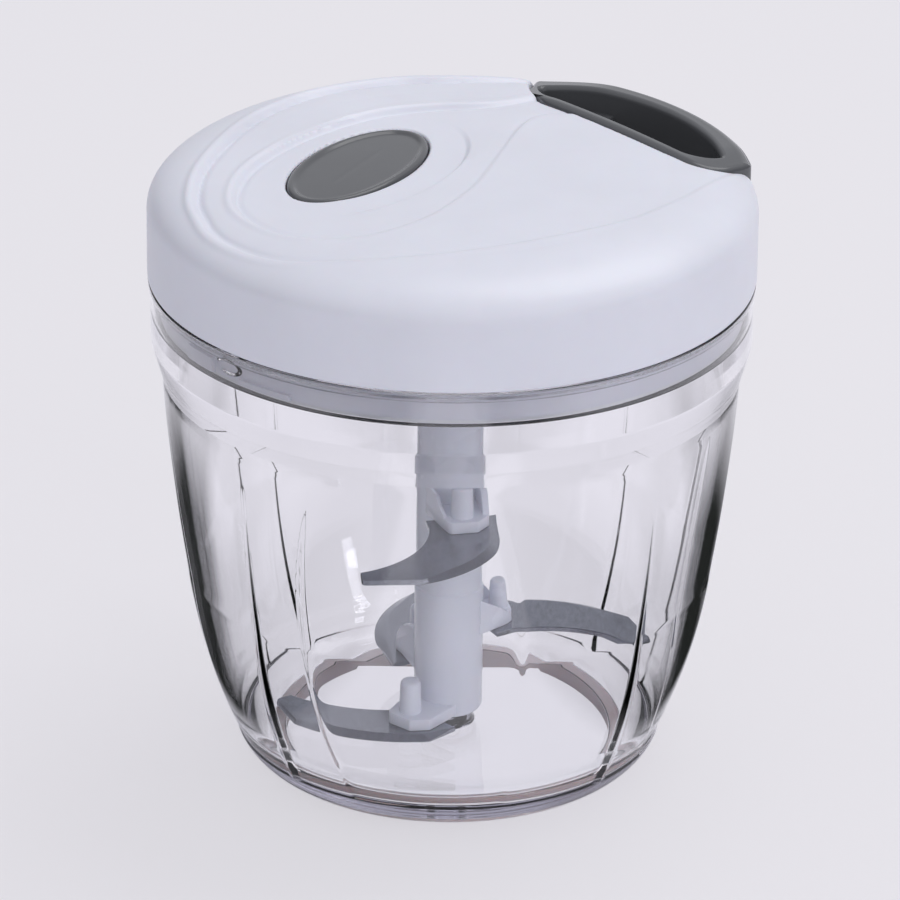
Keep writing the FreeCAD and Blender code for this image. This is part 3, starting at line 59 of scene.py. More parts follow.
bowl_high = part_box("bowl")[1] / MM
bowl_height = bowl_high.z
flange_radius = bowl_high.x
neck_radius = flange_radius - 0.5
waist_radius = neck_radius - 2.4
waist_height = 90.0
belly_radius = waist_radius - 4.7
belly_height = 45.4
lower_radius = waist_radius - 9.75
lower_height = 22.4
upper_radius = waist_radius - 1.7
upper_height = 68.0
neck_bottom = 98.5
flange_thickness = 1.9
panel_foot_radius = waist_radius - 15.7
panel_foot_height = 7.1
foot_radius = panel_foot_radius - 6.5
foot_height = 0.6
wall = 3.0
socket_radius = flange_radius - 3.0
ledge_radius = socket_radius - 2.1
ledge_height = bowl_height - 8.2
floor_height = 6.5
floor_corner_rise = 2.5
wall_start_rise = 7.5
wall_start_inset = 6.0
wall_middle_height = 28.0
wall_middle_inset = 1.36
inner_flare = 0.75
inner_flare_rise = 3.0
foot_curve_inset = 1.7
foot_curve_height = 4.0
floor_radius = panel_foot_radius - 6.6
underside = floor_height - 3.1
ring_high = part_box("antislip_ring")[1] / MM
ring_radius = ring_high.x
ring_width = 2.8
seat_gap = 0.02
pin_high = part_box("pivot_pin")[1] / MM
pin_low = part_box("pivot_pin")[0] / MM
boss_radius = 5.5
boss_top = floor_height + 2.8
panel_lean = -4.0
panel_top = waist_height + 1.5
panel_depth = 0.3
rib_height = 0.7
rib_half_width = 1.9
rib_top = waist_height - 9.0
panel_side_height = 48.0
lug_azimuth = 222.8
lug_length = 8.4
lug_reach = 0.95
lug_bottom = 106.7
lug_height = 3.6
BOWL_COLUMNS = 960


def arc(start, via, end, steps):
    """Points on the circle through three points, without the first one."""
    (ax, ay), (bx, by), (cx, cy) = start, via, end
    double = 2 * (ax * (by - cy) + bx * (cy - ay) + cx * (ay - by))
    squares = [ax * ax + ay * ay, bx * bx + by * by, cx * cx + cy * cy]
    x = (squares[0] * (by - cy) + squares[1] * (cy - ay) + squares[2] * (ay - by)) / double
    y = (squares[0] * (cx - bx) + squares[1] * (ax - cx) + squares[2] * (bx - ax)) / double
    first, middle, last = [math.atan2(q - y, p - x) for p, q in (start, via, end)]
    turn = (last - first) % math.tau
    if (middle - first) % math.tau > turn:
        turn -= math.tau
    radius = math.hypot(ax - x, ay - y)
    angles = first + turn * np.linspace(0, 1, steps + 1)[1:]
    return [(x + radius * math.cos(a), y + radius * math.sin(a)) for a in angles]


def rounded(corners, closed=False, steps=5):
    """Line through corners (x, y, radius), each rounded off by its radius."""
    line = []
    last = len(corners) - 1
    for index, (x, y, radius) in enumerate(corners):
        here = np.array((x, y), float)
        if radius == 0 or (not closed and index in (0, last)):
            line.append(tuple(here))
            continue
        before = here - np.array(corners[index - 1][:2])
        after = np.array(corners[(index + 1) % (last + 1)][:2]) - here
        before = before / np.linalg.norm(before)
        after = after / np.linalg.norm(after)
        turn = math.acos(float(np.clip(before @ after, -1, 1)))
        reach = radius * math.tan(turn / 2)
        for share in np.linspace(0, 1, steps):
            pull = (after * share ** 2 - before * (1 - share) ** 2) * reach
            line.append(tuple(here + pull))
    return line


def smooth_step(value, start, end):
    """0 before start and 1 after end, with a soft rise between them."""
    share = np.clip((value - start) / (end - start), 0, 1)
    return share * share * (3 - 2 * share)


def depth_inside(outline, x, y):
    """Distance of each point from a closed outline, positive inside it."""
    outline = np.asarray(outline, float)
    nearest = np.full(np.shape(x), np.inf)
    inside = np.zeros(np.shape(x), bool)
    for (px, py), (qx, qy) in zip(outline, np.roll(outline, -1, axis=0)):
        length = (qx - px) ** 2 + (qy - py) ** 2
        if length < 1e-12:
            continue
        share = np.clip(((x - px) * (qx - px) + (y - py) * (qy - py)) / length, 0, 1)
        gap = (x - px - share * (qx - px)) ** 2 + (y - py - share * (qy - py)) ** 2
        nearest = np.minimum(nearest, gap)
        if py != qy:
            crosses = (py > y) != (qy > y)
            inside ^= crosses & (x < (qx - px) * (y - py) / (qy - py) + px)
    return np.where(inside, 1, -1) * np.sqrt(nearest)


def build_mesh(name, points, faces, sharp=40.0):
    """Mesh object from points in millimetres, its faces turned outwards and shaded smoothly."""
    mesh = bpy.data.meshes.new(name)
    mesh.from_pydata((np.asarray(points, float) * MM).tolist(), [], faces)
    piece = bpy.data.objects.new(name, mesh)
    bpy.context.scene.collection.objects.link(piece)
    tidy_mesh(piece, sharp)
    return piece


def tidy_mesh(piece, sharp=40.0):
    """Turns the faces outwards, and shades all smoothly but the edges over an angle."""
    grid = bmesh.new()
    grid.from_mesh(piece.data)
    bmesh.ops.recalc_face_normals(grid, faces=grid.faces)
    grid.to_mesh(piece.data)
    grid.free()
    piece.data.shade_smooth()
    piece.data.set_sharp_from_angle(angle=math.radians(sharp))


def rings_mesh(name, rings, closed=False, sharp=40.0):
    """Mesh over a row of rings of points. The ends are closed by fans, or joined where it is closed."""
    rings = np.asarray(rings, float)
    count, columns = rings.shape[:2]
    points = rings.reshape(-1, 3)
    rows = count if closed else count - 1
    row, column = np.meshgrid(np.arange(rows), np.arange(columns), indexing="ij")
    above = (row + 1) % count
    beside = (column + 1) % columns
    quads = np.stack([row * columns + column, row * columns + beside,
                      above * columns + beside, above * columns + column], axis=-1)
    faces = quads.reshape(-1, 4).tolist()
    if not closed:
        points = np.vstack([points, rings[0].mean(axis=0), rings[-1].mean(axis=0)])
        base = (count - 1) * columns
        start, end = len(points) - 2, len(points) - 1
        for index in range(columns):
            following = (index + 1) % columns
            faces.append((index, start, following))
            faces.append((base + index, base + following, end))
    return build_mesh(name, points, faces, sharp)


def turned_rings(profile, columns):
    """Rings of points round the Z axis for a profile of (radius, height)."""
    angles = np.arange(columns) * math.tau / columns
    radius = np.array([p[0] for p in profile])[:, None]
    height = np.array([p[1] for p in profile])[:, None]
    return np.stack([radius * np.cos(angles), radius * np.sin(angles),
                     height + 0 * angles], axis=-1)


def turned_piece(name, profile, columns=180, closed=True, sharp=40.0):
    """Turned solid: a closed profile, or one whose two ends lie near the axis."""
    return rings_mesh(name, turned_rings(profile, columns), closed, sharp)


def panel_outline():
    """One pressed panel seen from its front: straight foot, leaning sides and a round right shoulder."""
    foot = panel_foot_height
    left_foot, right_foot = (-17.0, foot), (15.5, foot)
    top_left, top_right, shoulder = (-24.3, panel_top), (9.0, panel_top), (16.2, panel_top - 9.0)
    line = [left_foot] + arc(left_foot, (-27.6, panel_side_height), top_left, 24) + [top_right]
    line += arc(top_right, (14.1, panel_top - 2.65), shoulder, 6)
    return line + arc(shoulder, (20.6, panel_side_height), right_foot, 24)


def wall_relief(radius, height, azimuth):
    """Outward move of the wall: the pressed panels and the ribs between them."""
    across = (azimuth + 90 - panel_lean + 45) % 90 - 45
    x = radius * np.sin(np.radians(across))
    inside = np.maximum(depth_inside(panel_outline(), x, height), 0)
    # The left edge of a panel is a crisp crease and its right edge is drawn out
    soft = smooth_step(x, -12, 14)
    fade = 1 - smooth_step(height, 64, panel_top)
    rise = (1 - soft) * (1 - np.exp(-inside / 0.6)) + soft * (1 - np.exp(-(inside / 1.8) ** 2))
    pressed = panel_depth * fade * rise
    off_rib = radius * np.sin(np.radians(azimuth % 90 - 45))
    share = np.clip(1 - (height - panel_foot_height) / (rib_top - panel_foot_height), 0.001, 1)
    share = share * smooth_step(height, panel_foot_height - 0.5, panel_foot_height + 0.2)
    share = np.maximum(share, 0.001)
    rib = rib_height * share * np.clip(1 - np.abs(off_rib) / (rib_half_width * share), 0, 1)
    return rib - pressed


def bowl_rings():
    """Rings from the pin's seat over the floor, up the inside, over the rim and down the outside."""
    hole = pin_high.x + seat_gap
    inner_start = (floor_radius, floor_height)
    inside = rounded([(0, pin_low.z - seat_gap, 0), (hole, pin_low.z - seat_gap, 0), (hole, boss_top, 0.2),
                      (boss_radius, boss_top, 0.6), (boss_radius, floor_height, 0.8),
                      (floor_radius * 0.5, floor_height, 0), inner_start + (0,)])
    wall_start = (lower_radius - wall_start_inset, floor_height + wall_start_rise)
    inside += arc(inner_start, (panel_foot_radius - 2, floor_height + floor_corner_rise), wall_start, 10)
    middle = (lower_radius - wall_middle_inset, wall_middle_height)
    low_end = (belly_radius - wall, belly_height)
    inside += arc(wall_start, middle, low_end, 14)
    high_end = (waist_radius - wall, waist_height)
    inside += arc(low_end, (upper_radius - wall, upper_height), high_end, 14)
    rim = rounded([high_end + (0,), (waist_radius - wall + inner_flare, waist_height + inner_flare_rise, 1.5),
                   (ledge_radius, ledge_height, 0.3), (socket_radius, ledge_height, 0.4),
                   (socket_radius, lug_bottom - 0.5, 0)])[1:]
    rim += [(socket_radius, z) for z in np.arange(lug_bottom - 0.25, lug_bottom + lug_height + 0.6, 0.2)]
    rim += rounded([(socket_radius, bowl_height - 2, 0), (socket_radius, bowl_height, 0.5),
                    (flange_radius, bowl_height, 0.5), (flange_radius, bowl_height - flange_thickness, 0.4),
                    (neck_radius, bowl_height - flange_thickness, 0.3), (neck_radius, neck_bottom, 3.0),
                    (waist_radius, waist_height, 2.0), (upper_radius, 82.0, 0)])[:-1]
    outside = [(waist_radius - 0.12, waist_height - 2)]
    upper = arc((waist_radius, waist_height), (upper_radius, upper_height), (belly_radius, belly_height), 60)
    outside += [p for p in upper if p[1] < waist_height - 2.6]
    outside += arc(upper[-1], (lower_radius, lower_height), (panel_foot_radius, panel_foot_height + 0.6), 52)
    outside += [(panel_foot_radius - 0.06, panel_foot_height + z) for z in (0.4, 0.2, 0, -0.2, -0.4)]
    outside += arc((panel_foot_radius - 0.06, panel_foot_height - 0.4),
                   (panel_foot_radius - foot_curve_inset, foot_curve_height),
                   (foot_radius + 0.4, foot_height + 0.1), 12)
    groove_inner = ring_radius - ring_width - seat_gap
    foot = rounded([(foot_radius, foot_height, 0), (ring_radius + seat_gap, foot_height, 0.2),
                    (ring_radius + seat_gap, ring_high.z + seat_gap, 0),
                    (groove_inner, ring_high.z + seat_gap, 0), (groove_inner, underside, 0.3),
                    (groove_inner * 0.5, underside, 0), (0, underside, 0)])
    profile = inside + rim + outside + foot
    rings = turned_rings(profile, BOWL_COLUMNS)
    azimuth = np.arange(BOWL_COLUMNS) * 360 / BOWL_COLUMNS
    radius = np.array([p[0] for p in profile])[:, None] + 0 * azimuth
    height = np.array([p[1] for p in profile])[:, None] + 0 * azimuth
    moved = radius.copy()
    first = len(inside) + len(rim)
    rows = slice(first, first + len(outside))
    moved[rows] += wall_relief(radius[rows], height[rows], azimuth[None, :] + 0 * radius[rows])
    # Lugs stand off the socket's wall
    rows = slice(len(inside), first)
    along = socket_radius * np.sin(np.radians((azimuth - lug_azimuth + 90) % 180 - 90))
    level = (height[rows] - lug_bottom) / lug_height * 2 - 1
    off_lug = np.hypot(along / (lug_length / 2), level)
    on_wall = np.abs(radius[rows] - socket_radius) < 0.01
    moved[rows] -= lug_reach * (1 - smooth_step(off_lug, 0.6, 1.0)) * on_wall
    turn = np.radians(azimuth)
    return np.stack([moved * np.cos(turn), moved * np.sin(turn), rings[..., 2]], axis=-1)


def add(tree, kind, inputs=None, **settings):
    """New node with its settings. Each input is set to a value or linked to a socket."""
    made = tree.nodes.new(kind)
    for key, value in settings.items():
        setattr(made, key, value)
    for key, value in (inputs or {}).items():
        if isinstance(value, bpy.types.NodeSocket):
            tree.links.new(value, made.inputs[key])
        else:
            made.inputs[key].default_value = value
    return made


def maths(tree, operation, *values):
    """Result of one sum on numbers or sockets."""
    return add(tree, "ShaderNodeMath", dict(enumerate(values)), operation=operation).outputs[0]


def mapped_range(tree, value, given, wanted=(0.0, 1.0)):
    """A value mapped from the given range onto the wanted one, and kept within it."""
    return add(tree, "ShaderNodeMapRange", {"Value": value, "From Min": given[0], "From Max": given[1],
                                            "To Min": wanted[0], "To Max": wanted[1]}).outputs[0]


def tinted_by(tree, tint, shade):
    """Colour made lighter or darker by a value near one."""
    tinted = add(tree, "ShaderNodeVectorMath", {"Scale": shade}, operation="SCALE")
    tinted.inputs[0].default_value = tint[:3]
    return tinted.outputs[0]


def colour(red, green, blue):
    """Linear colour with alpha, from screen values of 0 to 255."""
    shares = [value / 255 for value in (red, green, blue)]
    return [s / 12.92 if s <= 0.04045 else ((s + 0.055) / 1.055) ** 2.4 for s in shares] + [1.0]


def new_material(name):
    material = bpy.data.materials.new(name)
    material.use_nodes = True
    material.node_tree.nodes.clear()
    return material, material.node_tree


def surface_output(tree, shader, volume=None):
    output = add(tree, "ShaderNodeOutputMaterial", {"Surface": shader})
    if volume:
        tree.links.new(volume, output.inputs["Volume"])


def dress(piece, body, slot_name, material, *nodes):
    """Gives a piece its material and body, and lets it stand for CAD nodes. The slot's name is not used."""
    piece.data.materials.clear()
    piece.data.materials.append(material)
    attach(piece, body)
    if nodes:
        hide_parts(*nodes)
    return piece


def mould_group():
    """Surface of a moulded piece: faint cloudy mottling, uneven gloss and a fine unevenness."""
    group = bpy.data.node_groups.new("moulded_surface", "ShaderNodeTree")
    sockets = {"INPUT": {"Colour": "Color", "Gloss loss": "Float", "Cloud size": "Float",
                         "Grain size": "Float", "Mottling": "Float"},
               "OUTPUT": {"Colour": "Color", "Roughness": "Float", "Height": "Float"}}
    for side, words in sockets.items():
        for word, kind in words.items():
            group.interface.new_socket(word, in_out=side, socket_type="NodeSocket" + kind)
    given = add(group, "NodeGroupInput").outputs
    place = add(group, "ShaderNodeTexCoord").outputs["Object"]
    clouds = add(group, "ShaderNodeTexNoise",
                 {"Vector": place, "Scale": given["Cloud size"], "Detail": 4.0, "Roughness": 0.6})
    grain = add(group, "ShaderNodeTexNoise",
                {"Vector": place, "Scale": given["Grain size"], "Detail": 3.0})
    low = maths(group, "SUBTRACT", 1.0, given["Mottling"])
    high = maths(group, "ADD", 1.0, given["Mottling"])
    shade = mapped_range(group, clouds.outputs["Fac"], (0.3, 0.7), (low, high))
    tint = add(group, "ShaderNodeVectorMath", {0: given["Colour"], "Scale": shade}, operation="SCALE")
    uneven = mapped_range(group, clouds.outputs["Fac"], (0.3, 0.7), (0.85, 1.15))
    rough = maths(group, "MULTIPLY", given["Gloss loss"], uneven)
    output = add(group, "NodeGroupOutput")
    group.links.new(tint.outputs[0], output.inputs["Colour"])
    group.links.new(rough, output.inputs["Roughness"])
    group.links.new(grain.outputs["Fac"], output.inputs["Height"])
    return group


moulded_surface = mould_group()


def moulded(tree, tint, gloss_loss, clouds=30.0, grain=900.0, mottling=0.03, height=0.02):
    """Moulded surface's colour, roughness and normal for a shader of this tree."""
    surface = add(tree, "ShaderNodeGroup", node_tree=moulded_surface)
    values = {"Colour": tint, "Gloss loss": gloss_loss, "Cloud size": clouds, "Grain size": grain,
              "Mottling": mottling}
    for key, value in values.items():
        surface.inputs[key].default_value = value
    bump = add(tree, "ShaderNodeBump", {"Height": surface.outputs["Height"], "Strength": height,
                                        "Distance": 0.0002})
    return {"Base Color": surface.outputs["Colour"], "Roughness": surface.outputs["Roughness"],
            "Normal": bump.outputs[0]}


def moulded_material(name, look, shader):
    """Material of a moulded piece: the look of its surface, and what its shader adds to that."""
    material, tree = new_material(name)
    made = add(tree, "ShaderNodeBsdfPrincipled", {**moulded(tree, **look), **shader})
    surface_output(tree, made.outputs[0])
    return material


def clear_plastic():
    """Clear, very slightly violet plastic that lets most of the lamps' light through to its shadow."""
    material, tree = new_material("clear_plastic")
    look = moulded(tree, colour(252, 252, 254), 0.012, clouds=14.0, grain=60.0, mottling=0.01, height=0.02)
    glass = add(tree, "ShaderNodeBsdfPrincipled",
                {**look, "Transmission Weight": 1.0, "IOR": 1.57, "Metallic": 0.0})
    clear = add(tree, "ShaderNodeBsdfTransparent", {"Color": colour(252, 251, 254)})
    rays = add(tree, "ShaderNodeLightPath")
    mix = add(tree, "ShaderNodeMixShader", {0: rays.outputs["Is Shadow Ray"], 1: glass.outputs[0],
                                            2: clear.outputs[0]})
    depth = add(tree, "ShaderNodeVolumeAbsorption", {"Color": colour(204, 201, 214), "Density": 22.0})
    surface_output(tree, mix.outputs[0], depth.outputs[0])
    return material


bowl = rings_mesh("clear_bowl", bowl_rings(), sharp=70.0)
clear = clear_plastic()
dress(bowl, "bowl", "clear_plastic", clear, "bowl")

# Antislip ring
# A soft, translucent rubber ring pressed into a groove under the bowl's foot. It stands proud of the
# foot by half a millimetre, so the bowl stands on it.
soft_rubber = moulded_material(
    "soft_ring",
    {"tint": colour(206, 190, 186), "gloss_loss": 0.45, "clouds": 60.0, "grain": 700.0, "mottling": 0.05,
     "height": 0.1},
    {"Transmission Weight": 0.25, "IOR": 1.42, "Subsurface Weight": 0.3, "Subsurface Scale": 0.003})
inner = ring_radius - ring_width
antislip = turned_piece("antislip_foot_ring", rounded([
    (inner, 0, 0.6), (ring_radius, 0, 0.6), (ring_radius, ring_high.z, 0.3), (inner, ring_high.z, 0.3),
], closed=True), 240)
dress(antislip, "bowl", "soft_ring", soft_rubber, "antislip_ring")

# Pivot pin and the other steel pieces
# The pin is turned from the bowl's clear plastic and sits in the boss on its floor. The axle, its
# washer and screw, the lid's four screws, the smooth string guide and the springs are bare steel.


def steel_material(name, tint, gloss_loss, stretch):
    """Bare steel with fine marks drawn out along one direction."""
    material, tree = new_material(name)
    place = add(tree, "ShaderNodeTexCoord").outputs["Object"]
    mapped = add(tree, "ShaderNodeMapping", {"Vector": place, "Scale": stretch})
    marks = add(tree, "ShaderNodeTexNoise", {"Vector": mapped.outputs[0], "Scale": 400.0, "Detail": 4.0})
    rough = mapped_range(tree, marks.outputs["Fac"], (0.0, 1.0), (gloss_loss - 0.08, gloss_loss + 0.12))
    shade = mapped_range(tree, marks.outputs["Fac"], (0.3, 0.7), (0.9, 1.08))
    bump = add(tree, "ShaderNodeBump", {"Height": marks.outputs["Fac"], "Strength": 0.12,
                                        "Distance": 0.0001})
    steel = add(tree, "ShaderNodeBsdfPrincipled",
                {"Base Color": tinted_by(tree, tint, shade), "Metallic": 1.0, "Roughness": rough,
                 "Normal": bump.outputs[0]})
    surface_output(tree, steel.outputs[0])
    return material


def paint_node(node, material):
    """Gives a CAD node that is shown as it is its material."""
    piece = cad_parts[node]
    piece.data.materials.clear()
    piece.data.materials.append(material)


turned_steel = steel_material("steel", colour(196, 198, 202), 0.3, (1.0, 1.0, 8.0))
paint_node("pivot_pin", clear)
for node in ("reel_axle", "cord_guide", "axle_washer", "axle_screw", "lid_screws",
             "recoil_spring", "button_springs"):
    paint_node(node, turned_steel)

# Rotor
# A tube moulded in cool white plastic, which stands on the pivot pin. Each of its four arms is a plate,
# with a rounded and a thin web on all but the lowest. A blade lies under the plate, held by a peg that
# is melted over below it.
BLADES = {
    "top": {"azimuth": -78.0, "height": 59.0, "webs": True, "share": 1.0, "turn": 0.0},
    "right": {"azimuth": 29.0, "height": 28.0, "webs": True, "share": 1.0, "turn": 0.0},
    "back": {"azimuth": 119.0, "height": 18.5, "webs": True, "share": 1.0, "turn": 0.0},
    "bottom": {"azimuth": -129.5, "height": 10.2, "webs": False, "share": 0.85, "turn": -15.0},
}
tube_radius = 7.5
tube_upper_radius = 7.2
tube_step = 39.2
tube_bottom = boss_top + 0.3
pin_bore = pin_high.x + 0.05
head_radius = 5.0
head_length = 6.6
drive_bore = 3.4
drive_bore_floor = 34.0
pin_room_top = 26.6
dog_inner_radius = 4.2
dog_length = 7.0
rotor_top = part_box("blade_shaft")[1].z / MM
arm_root = 4.3
arm_root_half = 6.3
arm_end = 16.4
arm_back = 3.5
arm_front = 6.0
arm_chamfer = 3.2
arm_thickness = 2.6
web_height = 5.6
web_thickness = 1.6
thin_web = 0.9
thin_web_lean = 13.0
thin_web_offset = 7.1
thin_web_root = 3.0
thin_web_end = 11.9
peg_distance = 12.8
peg_radius = 2.5
peg_height = 7.0
shank_radius = 1.75
blade_thickness = 1.0


def prism(name, outline, bottom, top, bevel=0.0, sharp=30.0):
    """Solid between two heights over an outline in plan, with its edges slightly bevelled."""
    count = len(outline)
    points = [(x, y, bottom) for x, y in outline] + [(x, y, top) for x, y in outline]
    faces = [tuple(range(count)), tuple(range(count, 2 * count))]
    faces += [(i, (i + 1) % count, (i + 1) % count + count, i + count) for i in range(count)]
    piece = build_mesh(name, points, faces, sharp)
    if bevel:
        grid = bmesh.new()
        grid.from_mesh(piece.data)
        edges = [e for e in grid.edges if e.calc_face_angle(0) > math.radians(sharp)]
        bmesh.ops.bevel(grid, geom=edges, offset=bevel * MM, segments=2, affect="EDGES", profile=0.5)
        grid.to_mesh(piece.data)
        grid.free()
        tidy_mesh(piece, sharp)
    return piece


def join_solid(base, tool, operation):
    """Boolean of two solids into the first one; the tool is removed."""
    change = base.modifiers.new(operation, "BOOLEAN")
    change.operation = operation
    change.solver = "MANIFOLD"
    change.object = tool
    bpy.context.view_layer.objects.active = base
    with bpy.context.temp_override(object=base):
        bpy.ops.object.modifier_apply(modifier=change.name)
    bpy.data.objects.remove(tool)
    return base


def turned_about(piece, azimuth, height=0.0, x=0.0):
    """Moves a mesh out along X and up, then turns it about the Z axis."""
    place = Matrix.Rotation(math.radians(azimuth), 4, "Z") @ Matrix.Translation((x * MM, 0, height * MM))
    piece.data.transform(place)
    return piece


def upright(piece):
    """Tips a prism made in plan up, so that its plan's Y becomes height and its height runs along Y."""
    piece.data.transform(Matrix.Rotation(math.radians(90), 4, "X"))
    return piece


def white_plastic(name, tint, gloss_loss):
    """White plastic, a little translucent, with a soft gloss."""
    return moulded_material(name, {"tint": tint, "gloss_loss": gloss_loss},
                            {"IOR": 1.5, "Subsurface Weight": 0.08, "Subsurface Scale": 0.002})


def rotor_arm(seat):
    """Plate, rounded web and low straight web, as solids to be joined to the tube."""
    chamfer_start = arm_end - arm_chamfer
    plate = prism("arm_plate", rounded([
        (arm_root, -arm_root_half, 0), (arm_end, -arm_back, 1.6), (arm_end, arm_front - arm_chamfer, 0.8),
        (chamfer_start, arm_front, 0.8), (arm_root, arm_front, 0),
    ]), 0, arm_thickness, 0.25)
    plate = turned_about(plate, seat["azimuth"], seat["height"])
    if not seat["webs"]:
        return [plate]
    low, top = arm_thickness / 2, arm_thickness + web_height
    span = chamfer_start - arm_root
    domed = [(arm_root, low), (chamfer_start, low), (chamfer_start, arm_thickness + 0.2)]
    domed += arc(domed[-1], (arm_root + span * 0.75, arm_thickness + web_height * 0.72), (arm_root, top), 14)
    inner = arm_front - web_thickness
    web = upright(prism("arm_web", domed, -arm_front + 0.05, -inner, 0.2, 40.0))
    straight = [(thin_web_root, low), (thin_web_end, low), (thin_web_end, arm_thickness + 0.2),
                (thin_web_root, top)]
    thin = upright(prism("arm_thin_web", straight, thin_web_offset - thin_web, thin_web_offset - 0.05, 0.15))
    return [plate, turned_about(web, seat["azimuth"], seat["height"]),
            turned_about(thin, seat["azimuth"] + thin_web_lean, seat["height"])]


def shank_circle(x=0.0):
    """Plan of the hole for a peg's shank."""
    return [(shank_radius * math.cos(a) + x, shank_radius * math.sin(a))
            for a in np.arange(32) * math.tau / 32]


def make_rotor():
    neck = rotor_top - head_length
    rotor = turned_piece("rotor_tube", rounded([
        (pin_bore, tube_bottom, 0.2), (tube_radius, tube_bottom, 1.0), (tube_radius, tube_step - 0.2, 0.15),
        (tube_upper_radius, tube_step + 0.2, 0.15), (tube_upper_radius, neck - 1.6, 0.4),
        (head_radius, neck, 0.3), (head_radius, rotor_top, 0.4), (drive_bore, rotor_top, 0.3),
        (drive_bore, drive_bore_floor, 0), (0.01, drive_bore_floor, 0), (0.01, pin_room_top, 0),
        (pin_bore, pin_room_top, 0),
    ], closed=True), 96, sharp=35.0)
    for seat in BLADES.values():
        for part in rotor_arm(seat):
            join_solid(rotor, part, "UNION")
        hole = prism("shank_hole", shank_circle(), -1, arm_thickness + 1)
        join_solid(rotor, turned_about(hole, seat["azimuth"], seat["height"], peg_distance), "DIFFERENCE")
    dog_bottom = rotor_top - dog_length
    for index in range(3):
        middle = math.radians(30 + 120 * index)
        half = math.radians(12)
        reach = head_radius + 1.5
        corners = [(dog_inner_radius, -half)] + [(reach, a) for a in np.linspace(-half, half, 5)]
        outline = [(r * math.cos(middle + a), r * math.sin(middle + a))
                   for r, a in corners + [(dog_inner_radius, half)]]
        dog = prism("drive_dog", outline, dog_bottom + 0.4, rotor_top - 0.8, 0.15)
        join_solid(rotor, dog, "UNION")
    tidy_mesh(rotor, 35.0)
    return rotor


def make_pegs():
    """Pegs with rounded tops, through plate and blade, each closed below by a flat head."""
    top = arm_thickness + peg_height
    tip = peg_radius - 0.3
    profile = rounded([
        (0, -blade_thickness - 0.8, 0), (2.6, -blade_thickness - 0.8, 0.4), (2.6, -blade_thickness, 0.1),
        (shank_radius, -blade_thickness, 0), (shank_radius, arm_thickness, 0),
        (peg_radius, arm_thickness, 0), (tip, top, 1.1), (0, top, 0),
    ])
    pegs = []
    for seat in BLADES.values():
        peg = turned_piece("blade_peg", profile, 48, closed=False)
        pegs.append(turned_about(peg, seat["azimuth"], seat["height"], peg_distance))
    return join_pieces(pegs, "blade_pegs")


def join_pieces(pieces, name):
    """One object with the meshes of several."""
    grid = bmesh.new()
    for piece in pieces:
        grid.from_mesh(piece.data)
        bpy.data.objects.remove(piece)
    mesh = bpy.data.meshes.new(name)
    grid.to_mesh(mesh)
    grid.free()
    joined = bpy.data.objects.new(name, mesh)
    bpy.context.scene.collection.objects.link(joined)
    tidy_mesh(joined)
    return joined


rotor_plastic = white_plastic("rotor_plastic", colour(228, 231, 241), 0.26)
dress(make_rotor(), "rotor", "rotor_plastic", rotor_plastic, "blade_shaft")
dress(make_pegs(), "rotor", "rotor_plastic", rotor_plastic, "blade_pins")

# Blades
# Four sickle blades, stamped from 1 mm stainless sheet and ground to an edge along their outer,
# leading side. The lowest is shorter, so that it clears the curve between floor and wall.


def blade_outline(share, turn):
    """Outline in plan, and for each point whether it lies on the ground edge."""
    turn = math.radians(turn)

    def swept(x, y):
        x, y = x * share, y * share
        return x * math.cos(turn) - y * math.sin(turn), x * math.sin(turn) + y * math.cos(turn)

    root = tube_radius + 0.8
    back = [(root, 9.0), (root, -7.0), (12.0, -7.0)]
    back += arc(back[-1], swept(25.6, -14.15), swept(32.0, -25.7), 14)
    tip = [(x, y, r) for (x, y), r in zip((back[-1], swept(36.4, -26.2), swept(38.2, -13.9)), (0, 1.0, 0))]
    tip = rounded(tip, steps=4)
    edge = tip[1:] + arc(tip[-1], swept(31.6, -0.5), (18.5 * share, 7.9), 20)
    return back + edge, [False] * len(back) + [True] * len(edge)


def make_blade(name, seat):
    """Flat blade with a bevel ground along its outer edge."""
    outline, ground = blade_outline(seat["share"], seat["turn"])
    outline = np.array(outline)
    ahead = np.roll(outline, -1, axis=0) - np.roll(outline, 1, axis=0)
    inward = np.stack([ahead[:, 1], -ahead[:, 0]], axis=1)
    inward /= np.linalg.norm(inward, axis=1)[:, None]
    if depth_inside(outline, *(outline[5] + inward[5] * 0.1)[:, None])[0] < 0:
        inward = -inward
    width = np.full(len(outline), 0.12)
    width[ground] = np.interp(np.linspace(0, 1, sum(ground)), (0, 0.15, 0.4, 1), (0.15, 0.3, 2.1, 2.1))
    count = len(outline)
    top = outline + inward * width[:, None]
    points = [(x, y, -blade_thickness) for x, y in outline]
    points += [(x, y, -blade_thickness + (0.12 if edge else 0.9)) for (x, y), edge in zip(outline, ground)]
    points += [(x, y, 0) for x, y in top]
    faces = [tuple(range(count)), tuple(range(2 * count, 3 * count))]
    for low in (0, count):
        faces += [(low + i, low + (i + 1) % count, low + (i + 1) % count + count, low + i + count)
                  for i in range(count)]
    blade = build_mesh("blade_" + name + "_steel", points, faces, 12.0)
    hole = prism("blade_hole", shank_circle(peg_distance), -3, 2)
    join_solid(blade, hole, "DIFFERENCE")
    tidy_mesh(blade, 12.0)
    return turned_about(blade, seat["azimuth"], seat["height"])


blade_steel = steel_material("blade_steel", colour(150, 152, 160), 0.2, (3.0, 1.0, 1.0))
for name, seat in BLADES.items():
    dress(make_blade(name, seat), "rotor", "blade_steel", blade_steel, "blade_" + name)

# Lid base and gasket
# The lid's underside is one white moulding: a plate, a skirt that enters the bowl's socket, two pairs
# of bars that turn under the bowl's lugs, and the drive hub's bearing. A flat silicone ring seals it.
lid_white = white_plastic("white_plastic", colour(222, 223, 233), 0.34)
paint_node("lid_base", lid_white)


